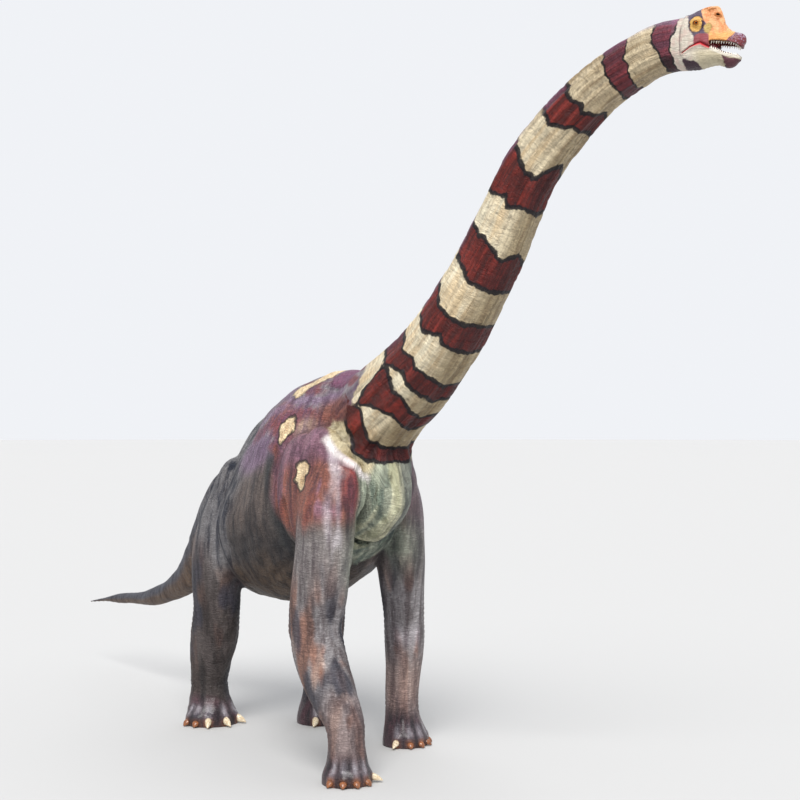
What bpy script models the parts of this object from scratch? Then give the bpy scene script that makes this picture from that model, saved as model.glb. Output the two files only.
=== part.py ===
"""A life-size fibreglass park figure of a standing, long-necked brachiosaur, in one pose.

The animal faces -Y with its left side towards +X, and its soles stand on z = 0.
Everything is first modelled on a stance frame, whose origin lies on the ground
midway between the four feet. At the end the figure is moved sideways, so that
the middle of its bounding box stands over the world origin.
"""

import math

import bmesh
import bpy
from mathutils import Matrix, Vector

# Driving sizes, in metres.
WITHERS_HEIGHT = 6.60
HIP_HEIGHT = 5.62
BELLY_HEIGHT = 2.52
BODY_HALF_WIDTH = 1.42
NECK_RADIUS = 0.50
TAIL_TIP_Y = 10.70
FRONT_FOOT_RADIUS = 0.40
HIND_FOOT_RADIUS = 0.52
HEAD_BASE = Vector((1.46, -7.70, 10.99))
HEAD_YAW = math.radians(32.0)

# How finely the figure is joined, how often it is eased and how many triangles it keeps.
BODY_VOXEL = 0.055
BODY_EASE = 6
BODY_TRIANGLES = 2900
HEAD_VOXEL = 0.016
HEAD_EASE = 3
HEAD_TRIANGLES = 820
# The gaps between neighbours: where the figure is parted, and round each claw and eye.
CUT = 0.002
SOCKET_GAP = 0.002

# The tubes' points round each ring, and rings for each row of sizes.
SIDES = 24
STEPS = 5
SMOOTH_ANGLE = math.radians(40.0)


def clear_scene():
    for item in list(bpy.data.objects):
        bpy.data.objects.remove(item, do_unlink=True)


def material(name, colour, roughness):
    made = bpy.data.materials.new(name)
    made.use_nodes = True
    shader = made.node_tree.nodes["Principled BSDF"]
    shader.inputs["Base Color"].default_value = (*colour, 1.0)
    shader.inputs["Roughness"].default_value = roughness
    shader.inputs["Metallic"].default_value = 0.0
    made.diffuse_color = (*colour, 1.0)
    return made


def new_object(name, mesh, collection):
    made = bpy.data.objects.new(name, mesh)
    collection.objects.link(made)
    return made


def cutter_object(name, bm, collection):
    """A shape that only cuts or is joined to others, so it isn't part of the figure."""
    mesh = bpy.data.meshes.new(name)
    bm.to_mesh(mesh)
    bm.free()
    cutter = new_object(name, mesh, collection)
    cutter.hide_render = True
    cutter.display_type = "WIRE"
    return cutter


def curve_value(before, here, there, after, share):
    """A value share of the way from here to there, on a curve that is smooth at both."""
    slope = (there - before) * share
    bend = (2 * before - 5 * here + 4 * there - after) * share**2
    twist = (3 * here - before - 3 * there + after) * share**3
    return 0.5 * (2 * here + slope + bend + twist)


def catmull(rows, steps):
    """The rows with steps - 1 more between each pair, on a smooth curve through them all."""
    out = []
    last = len(rows) - 1
    for i in range(last):
        before = rows[max(i - 1, 0)]
        here = rows[i]
        there = rows[i + 1]
        after = rows[min(i + 2, last)]
        for step in range(steps):
            out.append([curve_value(*values, step / steps) for values in zip(before, here, there, after)])
    out.append(list(rows[last]))
    return out


def section(bm, centre, up, side, row):
    """One ring: row gives its reach along up, against up, to both sides, and how much its top narrows."""
    rise, drop, width = row[:3]
    pinch = row[3] if len(row) > 3 else 0.0
    ring = []
    for i in range(SIDES):
        angle = 2 * math.pi * i / SIDES
        along = math.sin(angle)
        reach = rise if along > 0 else drop
        across = math.cos(angle) * width * (1.0 - pinch * max(along, 0.0))
        ring.append(bm.verts.new(centre + up * along * reach + side * across))
    return ring


def loft(bm, rows, reference):
    """A closed tube through rows of (x, y, z, rise, drop, half width).

    reference is the direction, square to the tube, that the rise is measured along.
    """
    smooth = catmull(rows, STEPS)
    centres = [Vector(row[:3]) for row in smooth]
    rings = []
    for i, row in enumerate(smooth):
        ahead = centres[min(i + 1, len(centres) - 1)]
        behind = centres[max(i - 1, 0)]
        along = (ahead - behind).normalized()
        up = (reference - along * reference.dot(along)).normalized()
        side = along.cross(up)
        rings.append(section(bm, centres[i], up, side, row[3:]))
    for low, high in zip(rings, rings[1:]):
        for i in range(SIDES):
            j = (i + 1) % SIDES
            bm.faces.new((low[j], low[i], high[i], high[j]))
    bm.faces.new(rings[0])
    bm.faces.new(rings[-1][::-1])


def lump(bm, centre, radii):
    """An ellipsoid, for a muscle, a toe or a brow."""
    place = Matrix.Translation(Vector(centre)) @ Matrix.Diagonal((*radii, 1.0))
    bmesh.ops.create_uvsphere(bm, u_segments=20, v_segments=12, radius=1.0, matrix=place)


UP = Vector((0.0, 0.0, 1.0))
AHEAD = Vector((0.0, -1.0, 0.0))


# ---------------------------------------------------------------- trunk, neck and tail
# Rows of (y, back height, belly height, half width, narrowing of the back), chest to tail root.
TRUNK = (
    (-2.64, 5.00, 4.42, 0.16, 0.0),
    (-2.42, 5.48, 4.00, 0.35, 0.0),
    (-2.02, 6.10, 3.64, 0.51, 0.0),
    (-1.40, WITHERS_HEIGHT, 3.62, 0.86, 0.0),
    (-0.60, WITHERS_HEIGHT - 0.05, 3.18, BODY_HALF_WIDTH - 0.10, 0.10),
    (0.30, WITHERS_HEIGHT - 0.36, BELLY_HEIGHT, BODY_HALF_WIDTH, 0.34),
    (1.10, 5.96, BELLY_HEIGHT - 0.11, 1.34, 0.44),
    (1.90, HIP_HEIGHT, BELLY_HEIGHT - 0.08, 1.12, 0.46),
    (2.70, 5.12, 2.90, 0.80, 0.48),
    (3.30, 4.66, 3.35, 0.46, 0.40),
)
# Rows of (x, y, z, rise, drop, half width) along the neck, from inside the chest to the skull.
NECK = (
    (0.00, -0.90, 5.00, 1.20, 1.20, 0.80),
    (0.00, -1.60, 5.55, 1.00, 0.84, 0.69),
    (0.01, -2.25, 5.98, 0.78, 0.71, 0.67),
    (0.04, -2.92, 6.38, 0.65, 0.67, 0.65),
    (0.10, -3.60, 6.88, 0.59, 0.59, 0.59),
    (0.17, -4.25, 7.56, 0.54, 0.54, 0.53),
    (0.24, -4.69, 8.15, NECK_RADIUS, NECK_RADIUS, 0.49),
    (0.33, -5.08, 8.80, 0.46, 0.46, 0.45),
    (0.43, -5.46, 9.42, 0.43, 0.43, 0.42),
    (0.61, -5.97, 10.02, 0.40, 0.40, 0.39),
    (0.86, -6.56, 10.55, 0.37, 0.39, 0.37),
    (1.14, -7.12, 10.87, 0.35, 0.37, 0.34),
    (1.34, -7.49, 10.97, 0.34, 0.34, 0.29),
    (1.52, -7.80, 11.00, 0.26, 0.30, 0.22),
)
# Rows of (x, y, z, rise, drop, half width) from inside the hips to the tip of the tail.
TAIL = (
    (0.00, 2.20, 4.28, 0.84, 1.10, 0.78),
    (0.00, 3.10, 4.00, 0.76, 0.80, 0.66),
    (0.00, 3.90, 3.51, 0.59, 0.58, 0.50),
    (0.00, 4.62, 2.95, 0.42, 0.43, 0.37),
    (0.00, 5.35, 2.43, 0.31, 0.33, 0.28),
    (0.00, 6.25, 2.06, 0.23, 0.25, 0.21),
    (0.00, 7.40, 1.79, 0.17, 0.17, 0.15),
    (0.00, 8.50, 1.68, 0.12, 0.12, 0.11),
    (0.00, 9.60, 1.54, 0.075, 0.075, 0.07),
    (0.00, TAIL_TIP_Y, 1.37, 0.03, 0.03, 0.03),
)


# How far up the trunk is widest, as a share of its depth.
WIDEST_SHARE = 0.42


def trunk_rows():
    """The trunk's rows as tube rows."""
    rows = []
    for y, top, bottom, width, pinch in TRUNK:
        widest = bottom + WIDEST_SHARE * (top - bottom)
        rows.append((0.0, y, widest, top - widest, widest - bottom, width, pinch))
    return rows


# ---------------------------------------------------------------- legs
# Rows of (x, y, z, forward reach, backward reach, half width) from the shoulder or hip to the sole.
FRONT_RIGHT = (
    (-0.72, -1.60, 5.20, 0.50, 0.55, 0.30),
    (-0.98, -1.92, 4.40, 0.62, 0.60, 0.42),
    (-1.11, -2.02, 3.60, 0.55, 0.55, 0.42),
    (-1.15, -1.97, 2.90, 0.49, 0.55, 0.43),
    (-1.17, -1.93, 2.35, 0.40, 0.57, 0.40),
    (-1.17, -2.10, 1.85, 0.40, 0.53, 0.39),
    (-1.14, -2.43, 1.30, 0.35, 0.38, 0.36),
    (-1.11, -2.67, 0.90, 0.32, 0.29, 0.31),
    (-1.12, -2.76, 0.60, 0.30, 0.29, 0.29),
    (-1.13, -2.80, 0.30, 0.35, 0.32, 0.34),
    (-1.14, -2.80, 0.12, 0.40, 0.36, 0.40),
    (-1.14, -2.79, -0.06, 0.40, 0.36, 0.40),
)
FRONT_LEFT = (
    (0.68, -1.00, 5.20, 0.45, 0.55, 0.30),
    (0.94, -1.09, 4.40, 0.48, 0.60, 0.40),
    (1.04, -1.07, 3.60, 0.46, 0.52, 0.40),
    (1.10, -1.04, 2.90, 0.42, 0.42, 0.38),
    (1.16, -1.02, 2.30, 0.38, 0.38, 0.36),
    (1.18, -1.00, 1.85, 0.37, 0.36, 0.36),
    (1.16, -1.00, 1.30, 0.31, 0.33, 0.31),
    (1.13, -1.01, 0.85, 0.28, 0.30, 0.29),
    (1.12, -1.03, 0.50, 0.29, 0.30, 0.30),
    (1.13, -1.05, 0.26, 0.36, 0.34, 0.36),
    (1.14, -1.06, 0.10, 0.40, 0.36, 0.40),
    (1.14, -1.06, -0.06, 0.40, 0.36, 0.40),
)
HIND_RIGHT = (
    (-0.52, 1.77, 4.84, 0.46, 0.46, 0.26),
    (-0.78, 1.88, 4.15, 0.66, 0.62, 0.40),
    (-0.90, 2.03, 3.40, 0.68, 0.64, 0.46),
    (-0.92, 2.16, 2.75, 0.56, 0.54, 0.44),
    (-0.89, 2.24, 2.25, 0.56, 0.46, 0.42),
    (-0.87, 2.38, 1.75, 0.58, 0.44, 0.42),
    (-0.87, 2.50, 1.25, 0.50, 0.38, 0.38),
    (-0.87, 2.56, 0.80, 0.38, 0.33, 0.34),
    (-0.87, 2.55, 0.55, 0.40, 0.33, 0.36),
    (-0.87, 2.52, 0.28, 0.46, 0.38, 0.46),
    (-0.87, 2.50, 0.12, 0.50, 0.42, 0.50),
    (-0.87, 2.50, -0.06, 0.50, 0.42, 0.50),
)
HIND_LEFT = (
    (0.52, 1.66, 4.84, 0.46, 0.46, 0.26),
    (0.78, 1.58, 4.15, 0.66, 0.62, 0.40),
    (0.90, 1.50, 3.40, 0.68, 0.64, 0.46),
    (0.92, 1.40, 2.75, 0.52, 0.54, 0.44),
    (0.89, 1.34, 2.25, 0.44, 0.46, 0.42),
    (0.90, 1.35, 1.75, 0.42, 0.44, 0.42),
    (0.92, 1.40, 1.25, 0.38, 0.38, 0.38),
    (0.93, 1.45, 0.80, 0.34, 0.33, 0.34),
    (0.93, 1.45, 0.55, 0.38, 0.33, 0.36),
    (0.93, 1.43, 0.28, 0.46, 0.38, 0.46),
    (0.93, 1.42, 0.12, 0.50, 0.42, 0.50),
    (0.93, 1.42, -0.06, 0.50, 0.42, 0.50),
)


# Muscles that stand out of the tubes: (centre, radii), for the right side where x is below 0.
MUSCLES = (
    ((-0.88, -1.65, 4.70), (0.40, 0.58, 0.95)),
    ((-0.98, -1.25, 4.55), (0.38, 0.74, 0.95)),
    ((-0.86, -2.05, 4.60), (0.42, 0.50, 0.60)),
    ((-1.20, -2.05, 3.95), (0.32, 0.46, 0.70)),
    ((-1.20, -1.62, 2.30), (0.26, 0.30, 0.36)),
    ((0.86, -0.97, 4.66), (0.40, 0.58, 0.95)),
    ((0.98, -0.60, 4.55), (0.38, 0.66, 0.95)),
    ((0.84, -1.18, 4.60), (0.40, 0.46, 0.60)),
    ((1.06, -1.04, 3.95), (0.34, 0.42, 0.70)),
    ((1.20, -0.80, 2.20), (0.25, 0.28, 0.36)),
    ((-0.61, 1.74, 4.36), (0.45, 0.72, 0.68)),
    ((-0.98, 2.15, 3.20), (0.34, 0.45, 0.70)),
    ((0.61, 1.64, 4.36), (0.45, 0.72, 0.68)),
    ((0.98, 1.60, 3.20), (0.34, 0.45, 0.70)),
)

# ---------------------------------------------------------------- feet
# Angles round the foot from straight ahead, positive towards the body's midline, in degrees.
THUMB_ANGLE = 54.0
FRONT_NAIL_ANGLES = (20.0, -9.0, -38.0, -68.0)
HIND_CLAW_ANGLES = (44.0, 5.0, -32.0)
HIND_NAIL_ANGLES = (-58.0, -82.0)
# (name, centre x, centre y, side of the body: -1 right and 1 left)
FRONT_FEET = (("front_right", -1.14, -2.79, -1), ("front_left", 1.14, -1.06, 1))
HIND_FEET = (("hind_right", -0.87, 2.50, -1), ("hind_left", 0.93, 1.42, 1))


def outward(angle, side):
    """The direction on the ground at an angle from straight ahead, towards the midline when positive."""
    turn = math.radians(angle)
    return Vector((-side * math.sin(turn), -math.cos(turn), 0.0))


# A toe: (distance of its middle from the foot's, height of its middle, radius, half height).
FRONT_TOE = (FRONT_FOOT_RADIUS - 0.08, 0.11, 0.125, 0.15)
HIND_TOE = (HIND_FOOT_RADIUS - 0.12, 0.12, 0.155, 0.17)


def toes(bm, feet, angles, size):
    """Rounded toes along the front edge of some feet."""
    distance, height, radius, half_height = size
    for _, x, y, side in feet:
        for angle in angles:
            point = Vector((x, y, height)) + outward(angle, side) * distance
            lump(bm, point, (radius, radius, half_height))


# ---------------------------------------------------------------- head
# The head has a frame of its own: x ahead, y to the left, z up, from the back of the jaw.
HEAD_FRAME = Matrix.Translation(HEAD_BASE) @ Matrix.Rotation(HEAD_YAW - math.pi / 2, 4, "Z")
# Rows of (x, y, z, rise, drop, half width, narrowing of the top) from the nape to the muzzle.
SKULL = (
    (-0.34, 0.0, -0.05, 0.38, 0.34, 0.31, 0.0),
    (-0.16, 0.0, -0.05, 0.39, 0.34, 0.28, 0.0),
    (0.00, 0.0, -0.05, 0.425, 0.31, 0.26, 0.05),
    (0.11, 0.0, -0.05, 0.470, 0.26, 0.245, 0.20),
    (0.20, 0.0, -0.05, 0.505, 0.22, 0.220, 0.45),
    (0.28, 0.0, -0.05, 0.525, 0.19, 0.195, 0.55),
    (0.335, 0.0, -0.055, 0.525, 0.19, 0.180, 0.60),
    (0.375, 0.0, -0.06, 0.485, 0.20, 0.172, 0.58),
    (0.415, 0.0, -0.065, 0.410, 0.21, 0.168, 0.55),
    (0.455, 0.0, -0.07, 0.320, 0.22, 0.163, 0.45),
    (0.50, 0.0, -0.075, 0.235, 0.23, 0.160, 0.30),
    (0.57, 0.0, -0.085, 0.180, 0.23, 0.155, 0.10),
    (0.63, 0.0, -0.095, 0.165, 0.22, 0.145, 0.0),
    (0.685, 0.0, -0.11, 0.155, 0.19, 0.125, 0.0),
    (0.725, 0.0, -0.13, 0.115, 0.12, 0.085, 0.0),
    (0.74, 0.0, -0.14, 0.06, 0.06, 0.04, 0.0),
)
JAW = (
    (-0.16, 0.0, -0.22, 0.14, 0.16, 0.21),
    (0.02, 0.0, -0.22, 0.16, 0.17, 0.235),
    (0.18, 0.0, -0.22, 0.15, 0.17, 0.205),
    (0.34, 0.0, -0.24, 0.14, 0.12, 0.175),
    (0.45, 0.0, -0.26, 0.12, 0.105, 0.160),
    (0.54, 0.0, -0.29, 0.12, 0.115, 0.150),
    (0.60, 0.0, -0.30, 0.10, 0.10, 0.135),
    (0.655, 0.0, -0.295, 0.07, 0.05, 0.105),
    (0.705, 0.0, -0.295, 0.035, 0.03, 0.055),
)
# The mouth, seen from the side: its upper edge, from the corner forward, and its lower edge.
MOUTH_TOP = (
    (0.00, -0.195),
    (0.15, -0.128),
    (0.22, -0.080),
    (0.34, -0.055),
    (0.43, -0.060),
    (0.58, -0.088),
    (0.67, -0.120),
    (0.73, -0.155),
    (0.90, -0.170),
)
MOUTH_BOTTOM = (
    (0.90, -0.305),
    (0.72, -0.280),
    (0.65, -0.257),
    (0.57, -0.216),
    (0.47, -0.182),
    (0.34, -0.134),
    (0.22, -0.084),
    (0.15, -0.132),
)
# Where the slit from the mouth's corner leaves the throat.
THROAT = (-0.07, -0.60)
EYE = Vector((0.130, 0.205, 0.200))
EYE_RADIUS = 0.045
# Lumps on each side of the head, as (centre, radii): brow, cheek and the swelling round a nostril.
FACE_LUMPS = (
    ((EYE.x, 0.165, EYE.z), (0.10, 0.065, 0.085)),
    ((0.10, 0.16, -0.03), (0.15, 0.085, 0.12)),
    ((0.385, 0.085, 0.30), (0.055, 0.035, 0.07)),
)


def head_shapes(bm):
    """The skull and the closed jaw, in the world."""
    local = bmesh.new()
    loft(local, SKULL, UP)
    loft(local, JAW, UP)
    for (x, y, z), radii in FACE_LUMPS:
        lump(local, (x, y, z), radii)
        lump(local, (x, -y, z), radii)
    bmesh.ops.transform(local, matrix=HEAD_FRAME, verts=local.verts)
    spare = bpy.data.meshes.new("head_shapes")
    local.to_mesh(spare)
    local.free()
    bm.from_mesh(spare)
    bpy.data.meshes.remove(spare)


MOUTH_CUT_HALF_WIDTH = 0.5


def mouth_cutter(collection):
    """An outline wider than the head: the open mouth, its corner, and the slit down the throat."""
    outline = [*MOUTH_TOP, *MOUTH_BOTTOM]
    outline += [(MOUTH_TOP[0][0] + CUT, MOUTH_TOP[0][1] - CUT)]
    outline += [(THROAT[0] + CUT, THROAT[1]), THROAT]
    bm = bmesh.new()
    sides = []
    for y in (-MOUTH_CUT_HALF_WIDTH, MOUTH_CUT_HALF_WIDTH):
        sides.append([bm.verts.new(HEAD_FRAME @ Vector((x, y, z))) for x, z in outline])
    bm.faces.new(sides[0])
    bm.faces.new(sides[1][::-1])
    count = len(outline)
    for i in range(count):
        j = (i + 1) % count
        bm.faces.new((sides[0][j], sides[0][i], sides[1][i], sides[1][j]))
    bmesh.ops.recalc_face_normals(bm, faces=bm.faces)
    return cutter_object("cut_mouth", bm, collection)


# ---------------------------------------------------------------- joining and parting
def solid(name, bm, voxel, relax, triangles, collection):
    """One closed skin over every shape in bm, eased by relax rounds and thinned to so many triangles."""
    mesh = bpy.data.meshes.new(name)
    bm.to_mesh(mesh)
    bm.free()
    made = new_object(name, mesh, collection)
    remesh = made.modifiers.new("join", "REMESH")
    remesh.mode = "VOXEL"
    remesh.voxel_size = voxel
    ease = made.modifiers.new("ease", "SMOOTH")
    ease.factor = 0.5
    ease.iterations = relax
    apply(made)
    # The shapes can close round a small hollow, whose skin is dropped here.
    made.data = max(islands(made.data), key=lambda skin: len(skin.vertices))
    made.data.calc_loop_triangles()
    thin = made.modifiers.new("thin", "DECIMATE")
    thin.ratio = triangles / len(made.data.loop_triangles)
    thin.use_collapse_triangulate = True
    apply(made)
    return made


def apply(item):
    """Turns the modifiers on item into its mesh."""
    graph = bpy.context.evaluated_depsgraph_get()
    made = bpy.data.meshes.new_from_object(item.evaluated_get(graph), depsgraph=graph)
    item.modifiers.clear()
    old = item.data
    item.data = made
    bpy.data.meshes.remove(old)


def trim(item, point, normal):
    """Cuts away what lies beyond a plane, on the side that normal points to, and closes the cut."""
    bm = bmesh.new()
    bm.from_mesh(item.data)
    geometry = [*bm.verts, *bm.edges, *bm.faces]
    bmesh.ops.bisect_plane(bm, geom=geometry, plane_co=point, plane_no=normal, dist=1e-6, clear_outer=True)
    rim = [edge for edge in bm.edges if edge.is_boundary]
    bmesh.ops.holes_fill(bm, edges=rim, sides=0)
    bmesh.ops.triangulate(bm, faces=[face for face in bm.faces if len(face.verts) > 4])
    bm.to_mesh(item.data)
    bm.free()


def boolean(item, other, operation="DIFFERENCE", solver="EXACT"):
    step = item.modifiers.new("cut", "BOOLEAN")
    step.operation = operation
    step.solver = solver
    step.object = other
    apply(item)


# Discs that part the figure: (centre, normal, radius). The neck and tail are parted across their length.
NECK_CUTS = ((3, 0.35), (5, 0.0), (7, 0.0), (9, 0.0))
TAIL_CUTS = ((1, 0.6), (4, 0.0), (6, 0.0))
SHOULDER_CUT = 2.95
THIGH_CUT = 2.28
ANKLE_CUT = 0.70
TRUNK_CUTS = (-0.28, 0.55)
TRUNK_CUT_HEIGHT = 4.75
TRUNK_CUT_RADIUS = 2.42
# (centre x, centre y, height, radius) of the level cuts through each leg.
LEG_CUTS = (
    (-1.14, -1.98, SHOULDER_CUT, 0.68),
    (-1.12, -2.70, ANKLE_CUT, 0.50),
    (1.12, -1.05, SHOULDER_CUT, 0.64),
    (1.15, -1.02, ANKLE_CUT, 0.48),
    (-0.90, 2.26, THIGH_CUT, 0.74),
    (-0.87, 2.56, ANKLE_CUT, 0.56),
    (0.90, 1.35, THIGH_CUT, 0.72),
    (0.93, 1.45, ANKLE_CUT, 0.54),
)
NAPE_CUT = (-0.20, 0.0, -0.03)


def disc(bm, centre, normal, radius):
    place = Matrix.Translation(Vector(centre)) @ UP.rotation_difference(Vector(normal)).to_matrix().to_4x4()
    radii = {"radius1": radius, "radius2": radius}
    bmesh.ops.create_cone(bm, cap_ends=True, segments=12, depth=CUT, matrix=place, **radii)


def between(rows, index, share):
    """A point on a tube's middle line, share of the way past row index, and the line's direction there."""
    steps = 20
    smooth = catmull(rows, steps)
    here = index * steps + round(share * steps)
    point = Vector(smooth[here][:3])
    along = (Vector(smooth[here + 1][:3]) - Vector(smooth[here - 1][:3])).normalized()
    return point, along


def parting_discs(collection):
    bm = bmesh.new()
    for rows, cuts in ((NECK, NECK_CUTS), (TAIL, TAIL_CUTS)):
        for index, share in cuts:
            point, along = between(rows, index, share)
            disc(bm, point, along, 1.1 * max(rows[index][3:5]) + 0.12)
    for x, y, height, radius in LEG_CUTS:
        disc(bm, (x, y, height), UP, radius)
    for y in TRUNK_CUTS:
        disc(bm, (0.0, y, TRUNK_CUT_HEIGHT), AHEAD, TRUNK_CUT_RADIUS)
    return cutter_object("cut_discs", bm, collection)


def islands(mesh):
    """The mesh's separate bodies, each as a new mesh."""
    bm = bmesh.new()
    bm.from_mesh(mesh)
    left = set(bm.verts)
    found = []
    while left:
        seed = left.pop()
        group = {seed}
        front = [seed]
        while front:
            vert = front.pop()
            for edge in vert.link_edges:
                other = edge.other_vert(vert)
                if other not in group:
                    group.add(other)
                    front.append(other)
        left -= group
        found.append(group)
    out = []
    for group in found:
        part = bmesh.new()
        copies = {vert: part.verts.new(vert.co) for vert in sorted(group, key=lambda v: v.index)}
        faces = {face for vert in group for face in vert.link_faces}
        for face in sorted(faces, key=lambda f: f.index):
            part.faces.new([copies[vert] for vert in face.verts])
        piece = bpy.data.meshes.new("piece")
        part.to_mesh(piece)
        part.free()
        out.append(piece)
    bm.free()
    return out


def middle(mesh):
    count = len(mesh.vertices)
    return sum((vert.co for vert in mesh.vertices), Vector()) / count


# ---------------------------------------------------------------- claws, eyes and teeth
# (share of the length, thickness, sag) from inside the toe to the tip.
CLAW_ROWS = ((-0.45, 0.85, 0.0), (0.05, 1.0, 0.02), (0.60, 0.70, 0.28), (1.0, 0.12, 0.58))


# A claw: (length, half width, height, height of its root, distance of its root from the foot's middle).
THUMB = (0.20, 0.060, 0.12, 0.110, FRONT_FOOT_RADIUS - 0.02)
FRONT_NAIL = (0.085, 0.062, 0.10, 0.075, FRONT_FOOT_RADIUS + 0.015)
HIND_CLAW = (0.19, 0.065, 0.15, 0.120, HIND_FOOT_RADIUS - 0.02)
HIND_NAIL = (0.085, 0.070, 0.11, 0.080, HIND_FOOT_RADIUS + 0.01)


def claw_list():
    """Every claw and nail, as (name, foot's name, foot's middle, side, angle, size)."""
    out = []
    for foot, x, y, side in FRONT_FEET:
        out.append((f"claw_{foot}_thumb", foot, (x, y), side, THUMB_ANGLE, THUMB))
        for i, angle in enumerate(FRONT_NAIL_ANGLES):
            out.append((f"nail_{foot}_{i + 2}", foot, (x, y), side, angle, FRONT_NAIL))
    for foot, x, y, side in HIND_FEET:
        for i, angle in enumerate(HIND_CLAW_ANGLES):
            out.append((f"claw_{foot}_{i + 1}", foot, (x, y), side, angle, HIND_CLAW))
        for i, angle in enumerate(HIND_NAIL_ANGLES):
            out.append((f"nail_{foot}_{i + 4}", foot, (x, y), side, angle, HIND_NAIL))
    return out


def claw_shape(name, middle_point, side, angle, size, collection):
    """A pointed claw or a blunt nail on the front of a foot."""
    length, half_width, height, root_height, distance = size
    ahead = outward(angle, side)
    start = Vector((*middle_point, root_height)) + ahead * distance
    rows = []
    for share, thickness, sag in CLAW_ROWS:
        point = start + ahead * length * share - UP * height * sag
        rows.append((*point, height * thickness / 2, half_width * thickness))
    bm = bmesh.new()
    loft_coarse(bm, rows)
    mesh = bpy.data.meshes.new(name)
    bm.to_mesh(mesh)
    bm.free()
    return new_object(name, mesh, collection)


CLAW_SIDES = 8


def loft_coarse(bm, rows):
    """A closed tube with few faces through rows of (x, y, z, half height, half width), for a claw."""
    rings = []
    centres = [Vector(row[:3]) for row in rows]
    for i, row in enumerate(rows):
        along = (centres[min(i + 1, len(rows) - 1)] - centres[max(i - 1, 0)]).normalized()
        up = (UP - along * UP.dot(along)).normalized()
        side = along.cross(up)
        ring = []
        for k in range(CLAW_SIDES):
            angle = 2 * math.pi * k / CLAW_SIDES
            reach = up * math.sin(angle) * row[3] + side * math.cos(angle) * row[4]
            ring.append(bm.verts.new(centres[i] + reach))
        rings.append(ring)
    for low, high in zip(rings, rings[1:]):
        for k in range(CLAW_SIDES):
            j = (k + 1) % CLAW_SIDES
            bm.faces.new((low[j], low[k], high[k], high[j]))
    bm.faces.new(rings[0])
    bm.faces.new(rings[-1][::-1])


def swollen(item, by, collection):
    """A cutter a little larger than item all round, which leaves it a socket with a small gap."""
    bm = bmesh.new()
    bm.from_mesh(item.data)
    bm.normal_update()
    for vert in bm.verts:
        vert.co += vert.normal * by
    return cutter_object("cut_" + item.name, bm, collection)


TEETH_A_SIDE = 9
TOOTH_ROOT = 0.014
TOOTH_RADIUS = 0.015
# A row of teeth: (how far ahead its middle is, its half width at the back, the teeth's length).
TOP_ROW = (0.700, 0.140, 0.032)
BOTTOM_ROW = (0.670, 0.135, 0.030)
ROW_BACK = 0.36
ROW_BEND = 0.075
ROW_TAPER = 0.035
STRAIGHT_SHARE = 0.72


def arcade_point(share, edge, front, half_width):
    """A point of a tooth row: share runs 0 to 1 along one side, from the back to the middle of the muzzle."""
    turn = min(share / STRAIGHT_SHARE, 1.0)
    bend = max(share - STRAIGHT_SHARE, 0.0) / (1.0 - STRAIGHT_SHARE) * math.pi / 2
    ahead = ROW_BACK + (front - ROW_BEND - ROW_BACK) * turn + ROW_BEND * math.sin(bend)
    across = (half_width - ROW_TAPER * turn) * math.cos(bend)
    return Vector((ahead, across, edge_height(edge, ahead)))


def edge_height(edge, ahead):
    """The height of the mouth's upper or lower edge at a distance ahead."""
    points = sorted(edge)
    for (x0, z0), (x1, z1) in zip(points, points[1:]):
        if x0 <= ahead <= x1:
            return z0 + (z1 - z0) * (ahead - x0) / (x1 - x0)
    return points[-1][1]


def tooth_row(name, edge, down, size, collection):
    """Small cones along both sides of one jaw, pointing down or up and sunk a little way into it."""
    front, half_width, length = size
    bm = bmesh.new()
    for side in (-1, 1):
        for i in range(TEETH_A_SIDE):
            root = arcade_point((i + 0.5) / TEETH_A_SIDE, edge, front, half_width)
            root.y *= side
            depth = length + TOOTH_ROOT
            centre = root + UP * down * (depth / 2 - TOOTH_ROOT)
            turn = Matrix.Rotation(math.pi if down < 0 else 0.0, 4, "X")
            place = HEAD_FRAME @ Matrix.Translation(centre) @ turn
            radii = {"radius1": TOOTH_RADIUS, "radius2": TOOTH_RADIUS / 5}
            bmesh.ops.create_cone(bm, cap_ends=True, segments=4, depth=depth, matrix=place, **radii)
    return cutter_object(name, bm, collection)


# ---------------------------------------------------------------- naming
# A point inside each piece, on the stance frame.
SEEDS = {
    "trunk_chest": (0.0, -1.6, 4.9),
    "trunk_belly": (0.0, 0.2, 4.6),
    "trunk_hips": (0.0, 1.9, 4.3),
    "neck_1_base": (0.08, -3.7, 7.0),
    "neck_2": (0.21, -4.69, 8.15),
    "neck_3": (0.41, -5.46, 9.42),
    "neck_4_nape": (0.95, -6.75, 10.6),
    "tail_1_root": (0.0, 4.4, 3.2),
    "tail_2": (0.0, 6.3, 2.1),
    "tail_3_tip": (0.0, 9.0, 1.5),
    "leg_front_right": (-1.14, -2.2, 1.8),
    "foot_front_right": (-1.14, -2.75, 0.3),
    "leg_front_left": (1.14, -1.0, 1.8),
    "foot_front_left": (1.14, -1.05, 0.3),
    "leg_hind_right": (-0.87, 2.4, 1.7),
    "foot_hind_right": (-0.87, 2.52, 0.3),
    "leg_hind_left": (0.90, 1.38, 1.7),
    "foot_hind_left": (0.93, 1.43, 0.3),
}
SKIN_COLOURS = {
    "neck": (0.55, 0.40, 0.30),
    "trunk": (0.17, 0.10, 0.10),
    "leg": (0.15, 0.12, 0.12),
    "foot": (0.05, 0.03, 0.04),
    "tail": (0.14, 0.11, 0.10),
    "head": (0.70, 0.40, 0.20),
    "lower": (0.50, 0.42, 0.30),
}


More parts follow.
